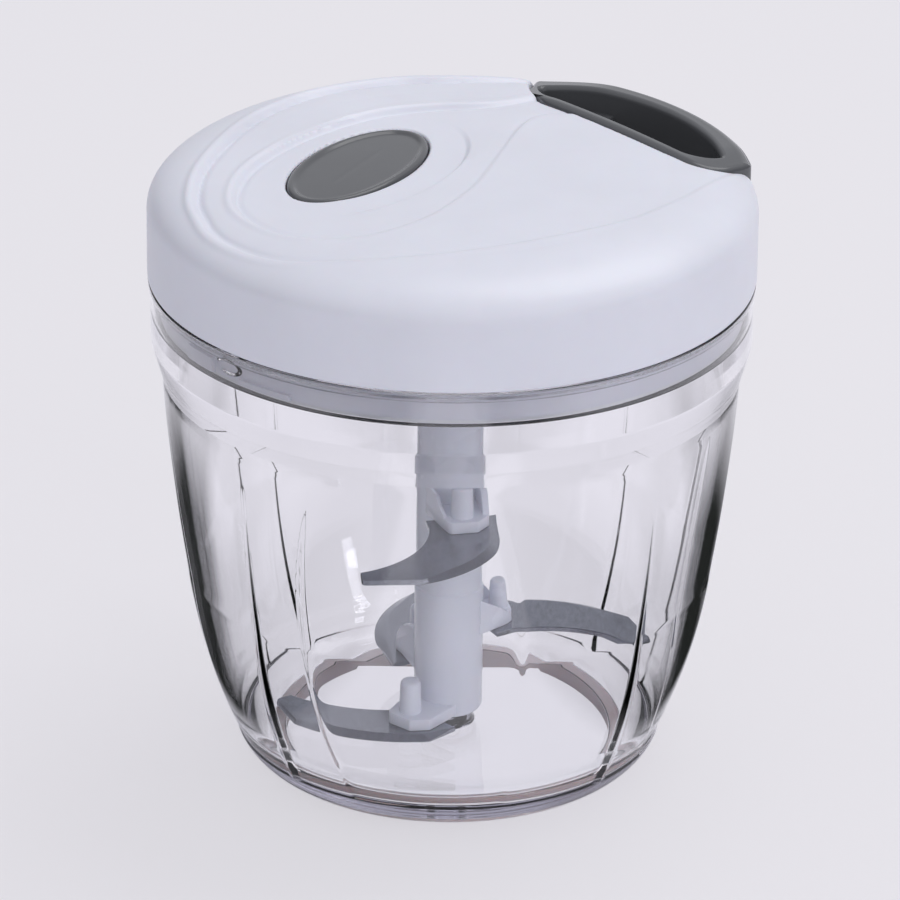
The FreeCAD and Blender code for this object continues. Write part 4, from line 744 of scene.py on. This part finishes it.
def rubber_material(name, tint, gloss_loss):
    """Soft matt rubber or silicone."""
    look = {"tint": tint, "gloss_loss": gloss_loss, "clouds": 80.0, "grain": 1500.0, "mottling": 0.06,
            "height": 0.15}
    return moulded_material(name, look, {"IOR": 1.42, "Sheen Weight": 0.1})


paint_node("lid_seal", rubber_material("seal_silicone", colour(226, 228, 232), 0.5))

# Reel, spring cup and drive hub
# White inner mouldings that turn together under the lid: the reel with the string's drum and, below
# it, the cup of the recoil spring, the disc that closes the cup, and the hub that drives the rotor.
inner_plastic = white_plastic("inner_plastic", colour(206, 208, 212), 0.42)
for node in ("cord_reel", "spring_cover", "spring_arbor"):
    paint_node(node, inner_plastic)
paint_node("drive_hub", lid_white)

# Lid cover
# One white glossy moulding with a domed top and a rounded shoulder. Its top steps down twice within
# curved outlines, has a flat dish round the button, and is open at the handle's pocket.
COVER_COLUMNS = 960
lid_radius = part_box("lid_cover")[1].x / MM
lid_bottom = bowl_height + 0.3
side_top = lid_bottom + 14.4
shoulder_radius = lid_radius - 19.0
shoulder_rise = 8.7
dome_rise = 1.5
lid_top = side_top + shoulder_rise + dome_rise
side_wall = 2.3
top_wall = 3.2
handle_azimuth = 42.0
handle_inner = lid_radius - 23.5
handle_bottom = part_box("pull_handle")[0].z / MM
handle_left = 34.5
handle_right = -34.6
handle_corner = 6.6
left_corner_reach = 14.5
left_corner_start = 17.0
left_corner_depth = 17.5
pocket_gap = 0.3
pocket_wall = 2.0
string_level = handle_bottom + 3.7
button_centre = np.array((-20.2, 3.3))
button_angle = 61.0
button_half = np.array((22.2, 11.8))
button_gap = 0.3
well_floor = 129.2
well_wall = 1.5
well_wall_top = 134.2
axle_boss_radius = 6.5
axle_boss_top = 134.8
post_radius = 3.6
post_circle = 50.0
post_top = 133.2
base_rise = 0.4
base_thickness = 2.4
dish_half = (31.5, 21.0)
dish_drop = 2.0
axle_radius = 3.0
brake_window_radius = 4.6
guide_radius = 2.0
reel_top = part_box("cord_reel")[1].z / MM


def cover_height(radius):
    """Height of the lid's outer surface at a radius, before its top is stepped."""
    radius = np.asarray(radius, float)
    shoulder = np.clip((radius - shoulder_radius) / (lid_radius - shoulder_radius), 0, 1)
    dome = dome_rise * (1 - np.clip(radius / shoulder_radius, 0, 1) ** 2)
    return side_top + shoulder_rise * (1 - shoulder ** 2) ** 0.45 + dome


def smooth_line(points, steps=8):
    """Smooth curve through points, which lie on it."""
    points = np.asarray(points, float)
    padded = np.vstack([2 * points[0] - points[1], points, 2 * points[-1] - points[-2]])
    line = []
    for index in range(1, len(padded) - 2):
        a, b, c, d = padded[index - 1:index + 3]
        for t in np.arange(steps) / steps:
            line.append(0.5 * (2 * b + (c - a) * t + (2 * a - 5 * b + 4 * c - d) * t * t
                               + (3 * b - a - 3 * c + d) * t ** 3))
    return np.array(line + [points[-1]])


# Plan of the first step, from the handle's right end round the front and left to its left end
outer_step = smooth_line([
    (61.8, 8.0), (54.3, -4.8), (47.9, -14.9), (36.3, -27.2), (19.1, -37.7), (2.0, -44.7), (-15.1, -48.4),
    (-30.5, -47.9), (-40.9, -42.9), (-49.7, -32.7), (-53.7, -21.2), (-54.9, -13.0), (-54.2, -2.0),
    (-51.6, 8.7), (-47.4, 20.9), (-42.7, 30.9), (-37.5, 38.3), (-32.3, 44.4), (-25.1, 49.3),
    (-11.8, 54.2), (-1.8, 54.5), (9.0, 55.6), (17.7, 58.4),
])
outer_step = np.vstack([outer_step, (70.0, 70.0)])
# Plan of the second step, a loop round the button with a neck to the handle
inner_step = smooth_line([
    (18.3, 44.0), (12.2, 40.1), (5.7, 38.0), (-3.9, 37.1), (-14.7, 34.0), (-23.5, 27.9), (-32.3, 19.3),
    (-39.1, 10.2), (-44.1, 0.4), (-46.2, -9.3), (-46.1, -18.0), (-43.3, -25.7), (-37.9, -32.7),
    (-31.6, -36.5), (-24.1, -37.6), (-17.2, -36.3), (-10.4, -32.4), (-3.6, -26.0), (1.6, -17.6),
    (5.7, -8.8), (10.6, 8.2), (14.3, 22.2), (17.5, 29.3), (21.1, 31.8), (25.8, 32.3),
])
inner_step = np.vstack([inner_step, (40.0, 46.4)])


def along_axis(points, angle, centre=(0.0, 0.0)):
    """Plan points turned from axes at an angle into the frame's own."""
    points = np.asarray(points, float)
    turn = math.radians(angle)
    x = points[:, 0] * math.cos(turn) - points[:, 1] * math.sin(turn) + centre[0]
    y = points[:, 0] * math.sin(turn) + points[:, 1] * math.cos(turn) + centre[1]
    return np.stack([x, y], axis=1)


def handle_plan(grow, outer):
    """D-shaped plan of the handle in its own axes, made larger by a margin and closed at a radius."""
    inner, left, right = handle_inner - grow, handle_left + grow, handle_right - grow
    corner = handle_corner
    diagonal = grow * math.sin(math.radians(45))
    bulge = corner * (1 - math.sin(math.radians(45)))
    start = (inner, corner + handle_right)
    line = [start]
    line += arc(start, (handle_inner + bulge - diagonal, bulge + handle_right - diagonal),
                (handle_inner + corner, right), 10)
    right_end = (math.sqrt(outer ** 2 - right ** 2), right)
    left_end = (math.sqrt(outer ** 2 - left ** 2), left)
    line += [right_end]
    line += arc(right_end, (outer, 0.0), left_end, 60)
    tip = (handle_inner + left_corner_reach, left)
    bulging = (handle_inner + left_corner_reach * 0.3 - diagonal,
               left_corner_start + left_corner_depth * 0.5 + diagonal)
    return np.array(line + [tip] + arc(tip, bulging, (inner, left_corner_start), 16))


def ellipse(grow, count=120):
    """Button's outline in plan, made larger by a margin."""
    angles = np.arange(count) * math.tau / count
    half = button_half + grow
    points = np.stack([half[0] * np.cos(angles), half[1] * np.sin(angles)], axis=1)
    return along_axis(points, button_angle, button_centre)


def round_lip(gap, radius):
    """Drop of a surface that rounds over towards an edge, at a distance from that edge."""
    share = np.clip(radius - gap, 0, radius)
    return radius - np.sqrt(radius ** 2 - share ** 2)


def step_relief(x, y):
    """Depth of the steps in the lid's top, measured square to its surface."""
    outer = depth_inside(outer_step, x, y)
    inner = depth_inside(inner_step, x, y)
    direction = np.degrees(np.arctan2(y, x))
    # The steps are strong at the left and back, and run out to a fine line at the front
    strength = smooth_step(np.cos(np.radians(direction - 150)), -0.3, 0.8)
    relief = (0.4 + 0.5 * strength) * smooth_step(outer, -0.2, 0.9)
    relief += (0.35 + 0.4 * strength) * smooth_step(inner, -0.2, 0.9)
    for gap in (outer, inner):
        lip = np.exp(-((gap + 1.0) / 0.8) ** 2)
        valley = np.exp(-((gap - 1.3) / 0.8) ** 2)
        relief += strength * (0.55 * valley - 0.4 * lip)
    return relief


def cover_rings():
    """Rings from the top's centre out over the shoulder, down the side and back under the shell."""
    rows = [(r, float(cover_height(r))) for r in np.arange(0.4, shoulder_radius, 0.4)]
    for angle in np.linspace(0, 90, 56):
        reach = math.sin(math.radians(angle))
        rows.append((shoulder_radius + (lid_radius - shoulder_radius) * reach,
                     side_top + shoulder_rise * max(math.cos(math.radians(angle)), 0) ** 0.9))
    rows += [(lid_radius, side_top - z) for z in np.arange(0.8, 13.2, 1.0)]
    top_rows = len(rows)
    inner = lid_radius - side_wall
    rows += rounded([(lid_radius, lid_bottom + 1.0, 0), (lid_radius, lid_bottom, 0.5),
                     (inner, lid_bottom, 0.3), (inner, side_top - top_wall, 0)])[1:]
    for angle in np.linspace(85, 0, 16):
        reach = math.sin(math.radians(angle))
        rows.append((shoulder_radius + (inner - shoulder_radius) * reach,
                     side_top - top_wall + shoulder_rise * math.cos(math.radians(angle))))
    rows += [(r, float(cover_height(r)) - top_wall) for r in np.arange(shoulder_radius - 2, 0.5, -2.0)]
    profile = np.array(rows)
    slope = np.gradient(profile[:top_rows], axis=0)
    normal = np.stack([-slope[:, 1], slope[:, 0]], axis=1)
    normal /= np.linalg.norm(normal, axis=1)[:, None]
    rings = turned_rings(rows, COVER_COLUMNS)
    top = rings[:top_rows]
    depth = step_relief(top[..., 0], top[..., 1])
    outward = top[..., :2] / profile[:top_rows, 0][:, None, None]
    top[..., :2] -= outward * (normal[:, 0][:, None] * depth)[..., None]
    top[..., 2] -= normal[:, 1][:, None] * depth
    # Flat dish round the button, and the rounded lips of button well and pocket
    x, y = top[..., 0], top[..., 1]
    local = along_axis(np.stack([(x - button_centre[0]).ravel(), (y - button_centre[1]).ravel()], axis=1),
                       -button_angle)
    share = np.hypot(local[:, 0] / dish_half[0], local[:, 1] / dish_half[1]).reshape(x.shape)
    dish = smooth_step((1 - share) * dish_half[1], -0.2, 1.0)
    flat = np.minimum(top[..., 2], lid_top - dish_drop)
    top[..., 2] = top[..., 2] * (1 - dish) + flat * dish
    top[..., 2] -= round_lip(-depth_inside(ellipse(button_gap), x, y), 0.6)
    pocket = along_axis(handle_plan(pocket_gap, lid_radius + 4), handle_azimuth)
    top[..., 2] -= round_lip(-depth_inside(pocket, x, y), 0.7)
    return rings


def plan_prism(name, outline, bottom, top):
    """Prism over a plan outline; its top is a height or follows the lid, lowered by a drop."""
    outline = np.asarray(outline)
    if isinstance(top, tuple):
        heights = cover_height(np.hypot(outline[:, 0], outline[:, 1])) - top[0]
    else:
        heights = np.full(len(outline), float(top))
    low = np.column_stack([outline, np.full(len(outline), float(bottom))])
    return rings_mesh(name, [low, np.column_stack([outline, heights])])


def rod(name, radius, bottom, top, x=0.0, azimuth=0.0, columns=64):
    """Round rod that stands at a distance from the axis."""
    made = turned_piece(name, [(radius, bottom), (radius, top)], columns, closed=False)
    return turned_about(made, azimuth, 0.0, x)


def level_rod(name, radius, start, length, columns=40):
    """Round rod that lies along the handle's axis at the string's level."""
    made = turned_piece(name, [(radius, start), (radius, start + length)], columns, closed=False)
    made.data.transform(Matrix.Rotation(math.radians(90), 4, "Y"))
    made.data.transform(Matrix.Translation((0, 0, string_level * MM)))
    return turned_about(made, handle_azimuth)


def make_cover():
    cover = rings_mesh("lid_top_shell", cover_rings(), sharp=35.0)
    pocket_floor = handle_bottom - pocket_gap
    margin = pocket_gap + pocket_wall
    walls = along_axis(handle_plan(margin, lid_radius - 1.0), handle_azimuth)
    join_solid(cover, plan_prism("pocket_walls", walls, pocket_floor - pocket_wall, (1.9,)), "UNION")
    well_bottom = reel_top + 0.8
    well = plan_prism("button_well", ellipse(button_gap + well_wall), well_bottom, well_wall_top)
    join_solid(cover, well, "UNION")
    boss_bottom = reel_top + 0.4
    join_solid(cover, rod("axle_boss", axle_boss_radius, boss_bottom, axle_boss_top), "UNION")
    axle_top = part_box("reel_axle")[1].z / MM
    plate_top = ledge_height + base_rise + base_thickness
    for index in range(4):
        azimuth = handle_azimuth + 45 + 90 * index
        post = rod("screw_post", post_radius, plate_top, post_top, post_circle, azimuth)
        join_solid(cover, post, "UNION")
    space = along_axis(handle_plan(pocket_gap, lid_radius + 4), handle_azimuth)
    join_solid(cover, plan_prism("pocket_space", space, pocket_floor, lid_top + 3), "DIFFERENCE")
    join_solid(cover, plan_prism("well_space", ellipse(button_gap), well_floor, lid_top + 3), "DIFFERENCE")
    join_solid(cover, rod("axle_seat", axle_radius, boss_bottom - 1, axle_top), "DIFFERENCE")
    window = rod("brake_window", brake_window_radius, well_bottom - 1, well_floor + 1)
    window.data.transform(Matrix.Translation((button_centre[0] * MM, button_centre[1] * MM, 0)))
    join_solid(cover, window, "DIFFERENCE")
    guide = level_rod("guide_hole", guide_radius, handle_inner - margin - 1, margin + 1)
    join_solid(cover, guide, "DIFFERENCE")
    tidy_mesh(cover, 35.0)
    return cover


dress(make_cover(), "lid", "white_plastic", lid_white, "lid_cover")

# Pull handle
# A D-shaped loop moulded in dark grey plastic, which drops into its pocket flush with the lid. A
# finger well is sunk into it, and the string's knot bears on the wall between well and pocket.
handle_rim_radius = lid_radius - 2.8
handle_rim_height = lid_top - dome_rise - 1.5
finger_floor = handle_bottom + 1.9
knot_seat = handle_inner + 1.7
well_inner = handle_inner + 3.3
well_step = 12.0
well_step_height = 8.6
handle_middle = 53.0
foot_edge = 0.5
well_lip = 1.3
string_bore = 1.1
knot_room_radius = 2.5
knot_room_length = 4.7
step_inner = handle_inner + 1.8
well_floor_edge = 1.5
well_corner = 6.0
well_left = 27.0
well_right = -29.0
well_rim = 5.4


def handle_height(x, y):
    """Height of the handle's top: a shallow cone with a rounded outer rim, lower at its two ends."""
    radius = np.hypot(x, y)
    ends = 2.5 * smooth_step(y, 14, 38) + 1.2 * smooth_step(-y, 26, 38)
    slope = 1.5 / (handle_rim_radius - shoulder_radius)
    cone = lid_top - dome_rise - slope * (radius - shoulder_radius)
    over = np.clip((radius - handle_rim_radius) / (lid_radius - handle_rim_radius), 0, 1)
    rim = handle_rim_height - 2.4 * (1 - np.sqrt(1 - over ** 2))
    return np.where(radius > handle_rim_radius, rim, cone) - ends


def even_line(outline, count):
    """Closed outline with evenly spaced points."""
    outline = np.vstack([outline, outline[:1]])
    lengths = np.hypot(*np.diff(outline, axis=0).T)
    reached = np.concatenate([[0], np.cumsum(lengths)])
    places = np.arange(count) * reached[-1] / count
    return np.stack([np.interp(places, reached, outline[:, 0]),
                     np.interp(places, reached, outline[:, 1])], axis=1)


def softened(outline, reach):
    """Closed outline of evenly spaced points with its corners rounded off."""
    total = sum(np.roll(outline, step, axis=0) for step in range(-reach, reach + 1))
    return total / (2 * reach + 1)


def inset(outline, gap):
    """Outline moved inwards by a gap, which may differ from point to point."""
    ahead = np.roll(outline, -1, axis=0) - np.roll(outline, 1, axis=0)
    inward = np.stack([-ahead[:, 1], ahead[:, 0]], axis=1)
    inward /= np.linalg.norm(inward, axis=1)[:, None]
    return outline + inward * np.broadcast_to(gap, len(outline))[:, None]


def finger_well_plan():
    """Plan of the finger well in the handle's own axes."""
    inner, corner = well_inner, well_corner
    bulge = corner * (1 - math.sin(math.radians(45)))
    start = (inner, corner + well_right)
    line = [start] + arc(start, (inner + bulge, bulge + well_right), (inner + corner, well_right), 10)
    line += arc(line[-1], (lid_radius - well_rim, 0.0), (inner + corner, well_left), 60)
    return np.array(line + arc(line[-1], (inner + bulge, well_left - bulge), (inner, well_left - corner), 10))


def quarter_turn(first, steps):
    """Shares that a quarter circle still has to go across and up, from an angle on."""
    angles = np.radians(np.linspace(first, 90, steps))
    return list(zip(1 - np.sin(angles), 1 - np.cos(angles)))


def make_handle():
    count = 480
    plan = softened(softened(even_line(handle_plan(0, lid_radius), count), 4), 4)
    centre = np.array((handle_middle, -1.0))
    well = softened(even_line(finger_well_plan(), count * 2), 3)
    # The well's points face the plan's, as seen from a point inside both
    facing = np.unwrap(np.arctan2(*(plan - centre).T[::-1]))
    around = np.arctan2(*(well - centre).T[::-1])
    order = np.argsort(around)
    wrapped = np.concatenate([around[order] - math.tau, around[order], around[order] + math.tau])
    ring = []
    for axis in range(2):
        values = np.tile(well[order, axis], 3)
        ring.append(np.interp((facing + math.pi) % math.tau - math.pi, wrapped, values))
    well = np.stack(ring, axis=1)
    if np.cross(plan[1] - plan[0], centre - plan[0]) < 0:
        plan, well = plan[::-1], well[::-1]
    on_rim = smooth_step(np.hypot(*plan.T), lid_radius - 1.5, lid_radius - 0.3)
    edge = 1.5 - 1.2 * on_rim

    def ring_at(line, height):
        return np.column_stack([line, np.broadcast_to(height, len(line))])

    def top_of(line):
        return handle_height(*line.T)

    rings = [ring_at(inset(plan, 1.2), handle_bottom)]
    for across, up in quarter_turn(30, 3):
        rings.append(ring_at(inset(plan, foot_edge * across), handle_bottom + foot_edge * up))
    high = top_of(inset(plan, edge)) - edge
    for share in (0.3, 0.6, 0.9):
        rings.append(ring_at(plan, handle_bottom + (high - handle_bottom) * share))
    for across, up in quarter_turn(0, 8):
        rings.append(ring_at(inset(plan, edge * up), high + edge * (1 - across)))
    start, end = inset(plan, edge), inset(well, -well_lip)
    for share in np.linspace(0.04, 1, 24):
        line = start + (end - start) * share
        rings.append(ring_at(line, top_of(line)))
    for across, up in quarter_turn(10, 7):
        rings.append(ring_at(inset(well, -well_lip * across), top_of(end) - well_lip * up))
    low = finger_floor + well_floor_edge
    for share in (0.3, 0.6, 0.85):
        high = top_of(end) - well_lip
        rings.append(ring_at(well, high + (low - high) * share))
    for across, up in quarter_turn(0, 6):
        rings.append(ring_at(inset(well, well_floor_edge * up), finger_floor + well_floor_edge * across))
    middle = np.array((handle_middle, 0.0))
    for share in (0.3, 0.6, 0.9):
        line = inset(well, well_floor_edge)
        rings.append(ring_at(line + (middle - line) * share, finger_floor))
    handle = rings_mesh("grey_pull_handle", rings, sharp=50.0)
    turned_about(handle, handle_azimuth)
    turned_back = prism("well_step", rounded([
        (step_inner, well_step, 0), (60.8, well_step - 0.6, 4.0), (58.5, 20.5, 0), (53.0, 28.3, 0),
        (50.0, 28.3, 0), (step_inner, 20.5, 0)], closed=True),
        finger_floor - 0.5, finger_floor + well_step_height, 0.4)
    join_solid(handle, turned_about(turned_back, handle_azimuth), "UNION")
    join_solid(handle, level_rod("handle_bore", string_bore, handle_inner - 1, 3.5), "DIFFERENCE")
    join_solid(handle, level_rod("knot_room", knot_room_radius, knot_seat, knot_room_length), "DIFFERENCE")
    tidy_mesh(handle, 50.0)
    return handle


grey_plastic = moulded_material(
    "grey_plastic",
    {"tint": colour(84, 85, 88), "gloss_loss": 0.16, "clouds": 40.0, "grain": 1100.0, "mottling": 0.05,
     "height": 0.008},
    {"IOR": 1.5})
dress(make_handle(), "handle", "grey_plastic", grey_plastic, "pull_handle")

# Button, its springs and the brake pad
# An oval cap in the same grey plastic, with a raised, rounded rim. It stands on two springs in its
# well, and a rubber pad on its stem presses on the reel to hold the string while it is pressed.
button_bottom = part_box("button_cap")[0].z / MM
button_sink = 1.5
button_hollow = 0.55
button_wall = 1.6
button_stem_radius = 4.0


def make_button():
    count = 180

    def ring_at(gap, height):
        line = ellipse(-gap, count)
        return np.column_stack([line, np.broadcast_to(height, count)])

    def top_of(gap, drop=0.0):
        line = ellipse(-gap, count)
        return cover_height(np.hypot(*line.T)) - button_sink - drop

    rings = [ring_at(gap, button_bottom + 1.4) for gap in (11.0, 6.0, 2.2)]
    rings += [ring_at(button_wall, button_bottom + 1.2), ring_at(button_wall, button_bottom),
              ring_at(0.2, button_bottom), ring_at(0.0, button_bottom + 0.2)]
    edge = top_of(1.0) - 1.0
    rings += [ring_at(0.0, button_bottom + (edge - button_bottom) * share) for share in (0.5, 0.9)]
    for angle in np.linspace(0, 90, 7):
        share = math.radians(angle)
        rings.append(ring_at(1.0 - math.cos(share), edge + math.sin(share)))
    for gap in np.linspace(1.2, 2.6, 6):
        rings.append(ring_at(gap, top_of(gap, button_hollow * smooth_step(gap, 1.1, 2.5))))
    for gap in np.linspace(3.4, 11.2, 10):
        rings.append(ring_at(gap, top_of(gap, button_hollow)))
    cap = rings_mesh("button_top", rings, sharp=40.0)
    stem = rod("button_stem", button_stem_radius, button_bottom, button_bottom + 1.7)
    stem.data.transform(Matrix.Translation((button_centre[0] * MM, button_centre[1] * MM, 0)))
    join_solid(cap, stem, "UNION")
    tidy_mesh(cap, 40.0)
    return cap


dress(make_button(), "button", "grey_plastic", grey_plastic, "button_cap")
paint_node("brake_pad", rubber_material("brake_rubber", colour(48, 48, 50), 0.6))

# String
# Braided polyester, 1.8 mm thick: four turns on the reel's drum, out through the smooth guide in the
# pocket's wall and through the handle's wall, where a knot holds it.
string_radius = 0.9
drum_radius = 15.05
drum_line = drum_radius + string_radius
drum_turns = 4
bend_before_guide = 1.6
guide_face = handle_inner - pocket_gap - pocket_wall


def string_material():
    """Pale braid: crossed strands that stand off the string."""
    material, tree = new_material("string")
    place = add(tree, "ShaderNodeTexCoord").outputs["Object"]
    strands = add(tree, "ShaderNodeTexWave", {"Vector": place, "Scale": 260.0, "Distortion": 2.0,
                                              "Detail": 2.0}, bands_direction="DIAGONAL")
    shade = mapped_range(tree, strands.outputs["Fac"], (0.0, 1.0), (0.75, 1.0))
    tinted = tinted_by(tree, colour(226, 226, 222), shade)
    bump = add(tree, "ShaderNodeBump", {"Height": strands.outputs["Fac"], "Strength": 0.6,
                                        "Distance": 0.0003})
    braid = add(tree, "ShaderNodeBsdfPrincipled", {"Base Color": tinted, "Roughness": 0.8,
                                                   "Normal": bump.outputs[0], "Sheen Weight": 0.3})
    surface_output(tree, braid.outputs[0])
    return material


def string_tube(name, path, radius, columns=14):
    """Round tube along a path of points."""
    path = np.asarray(path, float)
    ahead = np.gradient(path, axis=0)
    ahead /= np.linalg.norm(ahead, axis=1)[:, None]
    side = np.cross(ahead, (0.0, 0.0, 1.0))
    side /= np.linalg.norm(side, axis=1)[:, None]
    up = np.cross(side, ahead)
    angles = np.arange(columns) * math.tau / columns
    ring = (side[:, None, :] * np.cos(angles)[None, :, None] + up[:, None, :] * np.sin(angles)[None, :, None])
    return rings_mesh(name, path[:, None, :] + ring * radius)


def stored_string():
    """Turns on the drum and the run to the guide, in axes along the handle's."""
    corner = guide_face - bend_before_guide
    leave = math.asin(drum_line / corner) - math.pi / 2
    angles = np.linspace(leave - drum_turns * math.tau + 0.25, leave, 240)
    drum_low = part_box("pull_string")[0].z / MM + string_radius
    level = string_level - (leave - angles) / (leave - angles[0]) * (string_level - drum_low)
    coil = np.stack([drum_line * np.cos(angles), drum_line * np.sin(angles), level], axis=1)
    end = coil[-1]
    bend = np.array((corner, 0.0, string_level))
    straight = [end + (bend - end) * share for share in np.linspace(0.04, 0.9, 12)]
    out = [np.array((x, 0.0, string_level)) for x in np.linspace(corner + 1.2, guide_face + 0.1, 4)]
    return np.vstack([coil, straight, out])


string = string_material()
turns = turned_about(string_tube("string_turns", stored_string(), string_radius), handle_azimuth)
dress(turns, "lid", "string", string, "pull_string")
run_path = [(x, 0.0, string_level) for x in np.linspace(guide_face + 0.1, knot_seat, 90)]
run = turned_about(string_tube("string_run", run_path, string_radius), handle_azimuth)
run.data.materials.append(string)
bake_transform(run)
paint_node("string_knot", string)

# Stage: floor, light and camera
# A plain pale floor that keeps the chopper's soft shadow, one large soft lamp above, a narrow one at
# the right and a fill in front, with a darker left and right that give clear plastic its dark outline.
pale = colour(229, 227, 232)


def floor_material():
    material, tree = new_material("studio_floor")
    rays = add(tree, "ShaderNodeLightPath").outputs
    lit = add(tree, "ShaderNodeBsdfDiffuse", {"Color": colour(243, 241, 246)})
    glow = add(tree, "ShaderNodeEmission", {
        "Color": pale, "Strength": mapped_range(tree, rays["Is Transmission Ray"], (0.0, 1.0), (1.0, 1.12))})
    direct = maths(tree, "MULTIPLY", rays["Is Camera Ray"], 0.7)
    through = maths(tree, "MULTIPLY", rays["Is Transmission Ray"], 0.95)
    share = maths(tree, "MAXIMUM", direct, through)
    mix = add(tree, "ShaderNodeMixShader", {0: share, 1: lit.outputs[0], 2: glow.outputs[0]})
    # Two dark strips beside the chopper, met only by rays that the clear plastic bends or gloss throws
    place = add(tree, "ShaderNodeTexCoord").outputs["Object"]
    parts = add(tree, "ShaderNodeSeparateXYZ", {0: place}).outputs
    edge = mapped_range(tree, parts["Y"], (0.0, 0.1), (0.05, 0.07))
    beyond = maths(tree, "SUBTRACT", maths(tree, "ABSOLUTE", parts["X"]), edge)
    begin = mapped_range(tree, beyond, (0.0, 0.01))
    end = mapped_range(tree, beyond, (0.07, 0.12), (1.0, 0.0))
    behind = mapped_range(tree, parts["Y"], (0.1, 0.2), (1.0, 0.0))
    strip = maths(tree, "MULTIPLY", maths(tree, "MULTIPLY", begin, end), behind)
    bent = maths(tree, "MAXIMUM", rays["Is Transmission Ray"], rays["Is Glossy Ray"])
    dark = add(tree, "ShaderNodeBsdfDiffuse", {"Color": colour(40, 42, 40)})
    both = add(tree, "ShaderNodeMixShader", {0: maths(tree, "MULTIPLY", strip, bent), 1: mix.outputs[0],
                                             2: dark.outputs[0]})
    surface_output(tree, both.outputs[0])
    return material


floor_half = 6000.0
floor_level = -0.05
floor_corners = [(x * floor_half, y * floor_half, floor_level)
                 for x, y in ((-1, -1), (1, -1), (1, 1), (-1, 1))]
floor = build_mesh("studio_floor", floor_corners, [(0, 1, 2, 3)])
floor.data.materials.append(floor_material())

world = bpy.data.worlds.new("studio")
bpy.context.scene.world = world
world.use_nodes = True
sky = world.node_tree
sky.nodes.clear()
direction = add(sky, "ShaderNodeTexCoord").outputs["Generated"]
parts = add(sky, "ShaderNodeSeparateXYZ", {0: direction}).outputs
sideways = maths(sky, "ABSOLUTE", maths(sky, "SUBTRACT", parts["X"], 0.15))
side_dark = mapped_range(sky, sideways, (0.45, 0.8), (1.0, 0.06))
high_light = mapped_range(sky, parts["Z"], (0.25, 0.6))
level = maths(sky, "MAXIMUM", side_dark, high_light)
soft = add(sky, "ShaderNodeBackground", {"Color": colour(218, 219, 224), "Strength": level})
plain = add(sky, "ShaderNodeBackground", {"Color": pale, "Strength": 1.0})
camera_ray = add(sky, "ShaderNodeLightPath").outputs["Is Camera Ray"]
both = add(sky, "ShaderNodeMixShader", {0: camera_ray, 1: soft.outputs[0], 2: plain.outputs[0]})
add(sky, "ShaderNodeOutputWorld", {"Surface": both.outputs[0]})


def lamp(name, place, target, size, power):
    """Soft rectangular lamp, aimed at a point."""
    light = bpy.data.lights.new(name, "AREA")
    light.shape = "RECTANGLE"
    light.size, light.size_y = size
    light.energy = power
    made = bpy.data.objects.new(name, light)
    made.location = place
    made.rotation_euler = (Vector(target) - Vector(place)).to_track_quat("-Z", "Y").to_euler()
    bpy.context.scene.collection.objects.link(made)
    return made


lamp("top_softbox", (0.4, 0.35, 1.2), (0, 0, 0.08), (0.8, 0.8), 4.4)
lamp("right_strip", (0.9, -0.75, 0.5), (0, 0, 0.1), (0.12, 0.8), 1.6).visible_glossy = False
lamp("front_fill", (0.2, -1.4, 0.9), (0, 0, 0.07), (0.8, 0.6), 2.6).visible_glossy = False

camera = bpy.data.cameras.new("view")
camera.lens = 275.1
camera.sensor_width = 36.0
camera.clip_start = 0.01
view = bpy.data.objects.new("view", camera)
bpy.context.scene.collection.objects.link(view)
view.matrix_world = (Matrix.Translation((-0.00007, -1.3488, 0.6904))
                     @ Matrix.Rotation(math.pi / 2 - 0.431, 4, "X") @ Matrix.Rotation(0.010, 4, "Z"))
bpy.context.scene.camera = view
bpy.context.scene.view_settings.view_transform = "Standard"
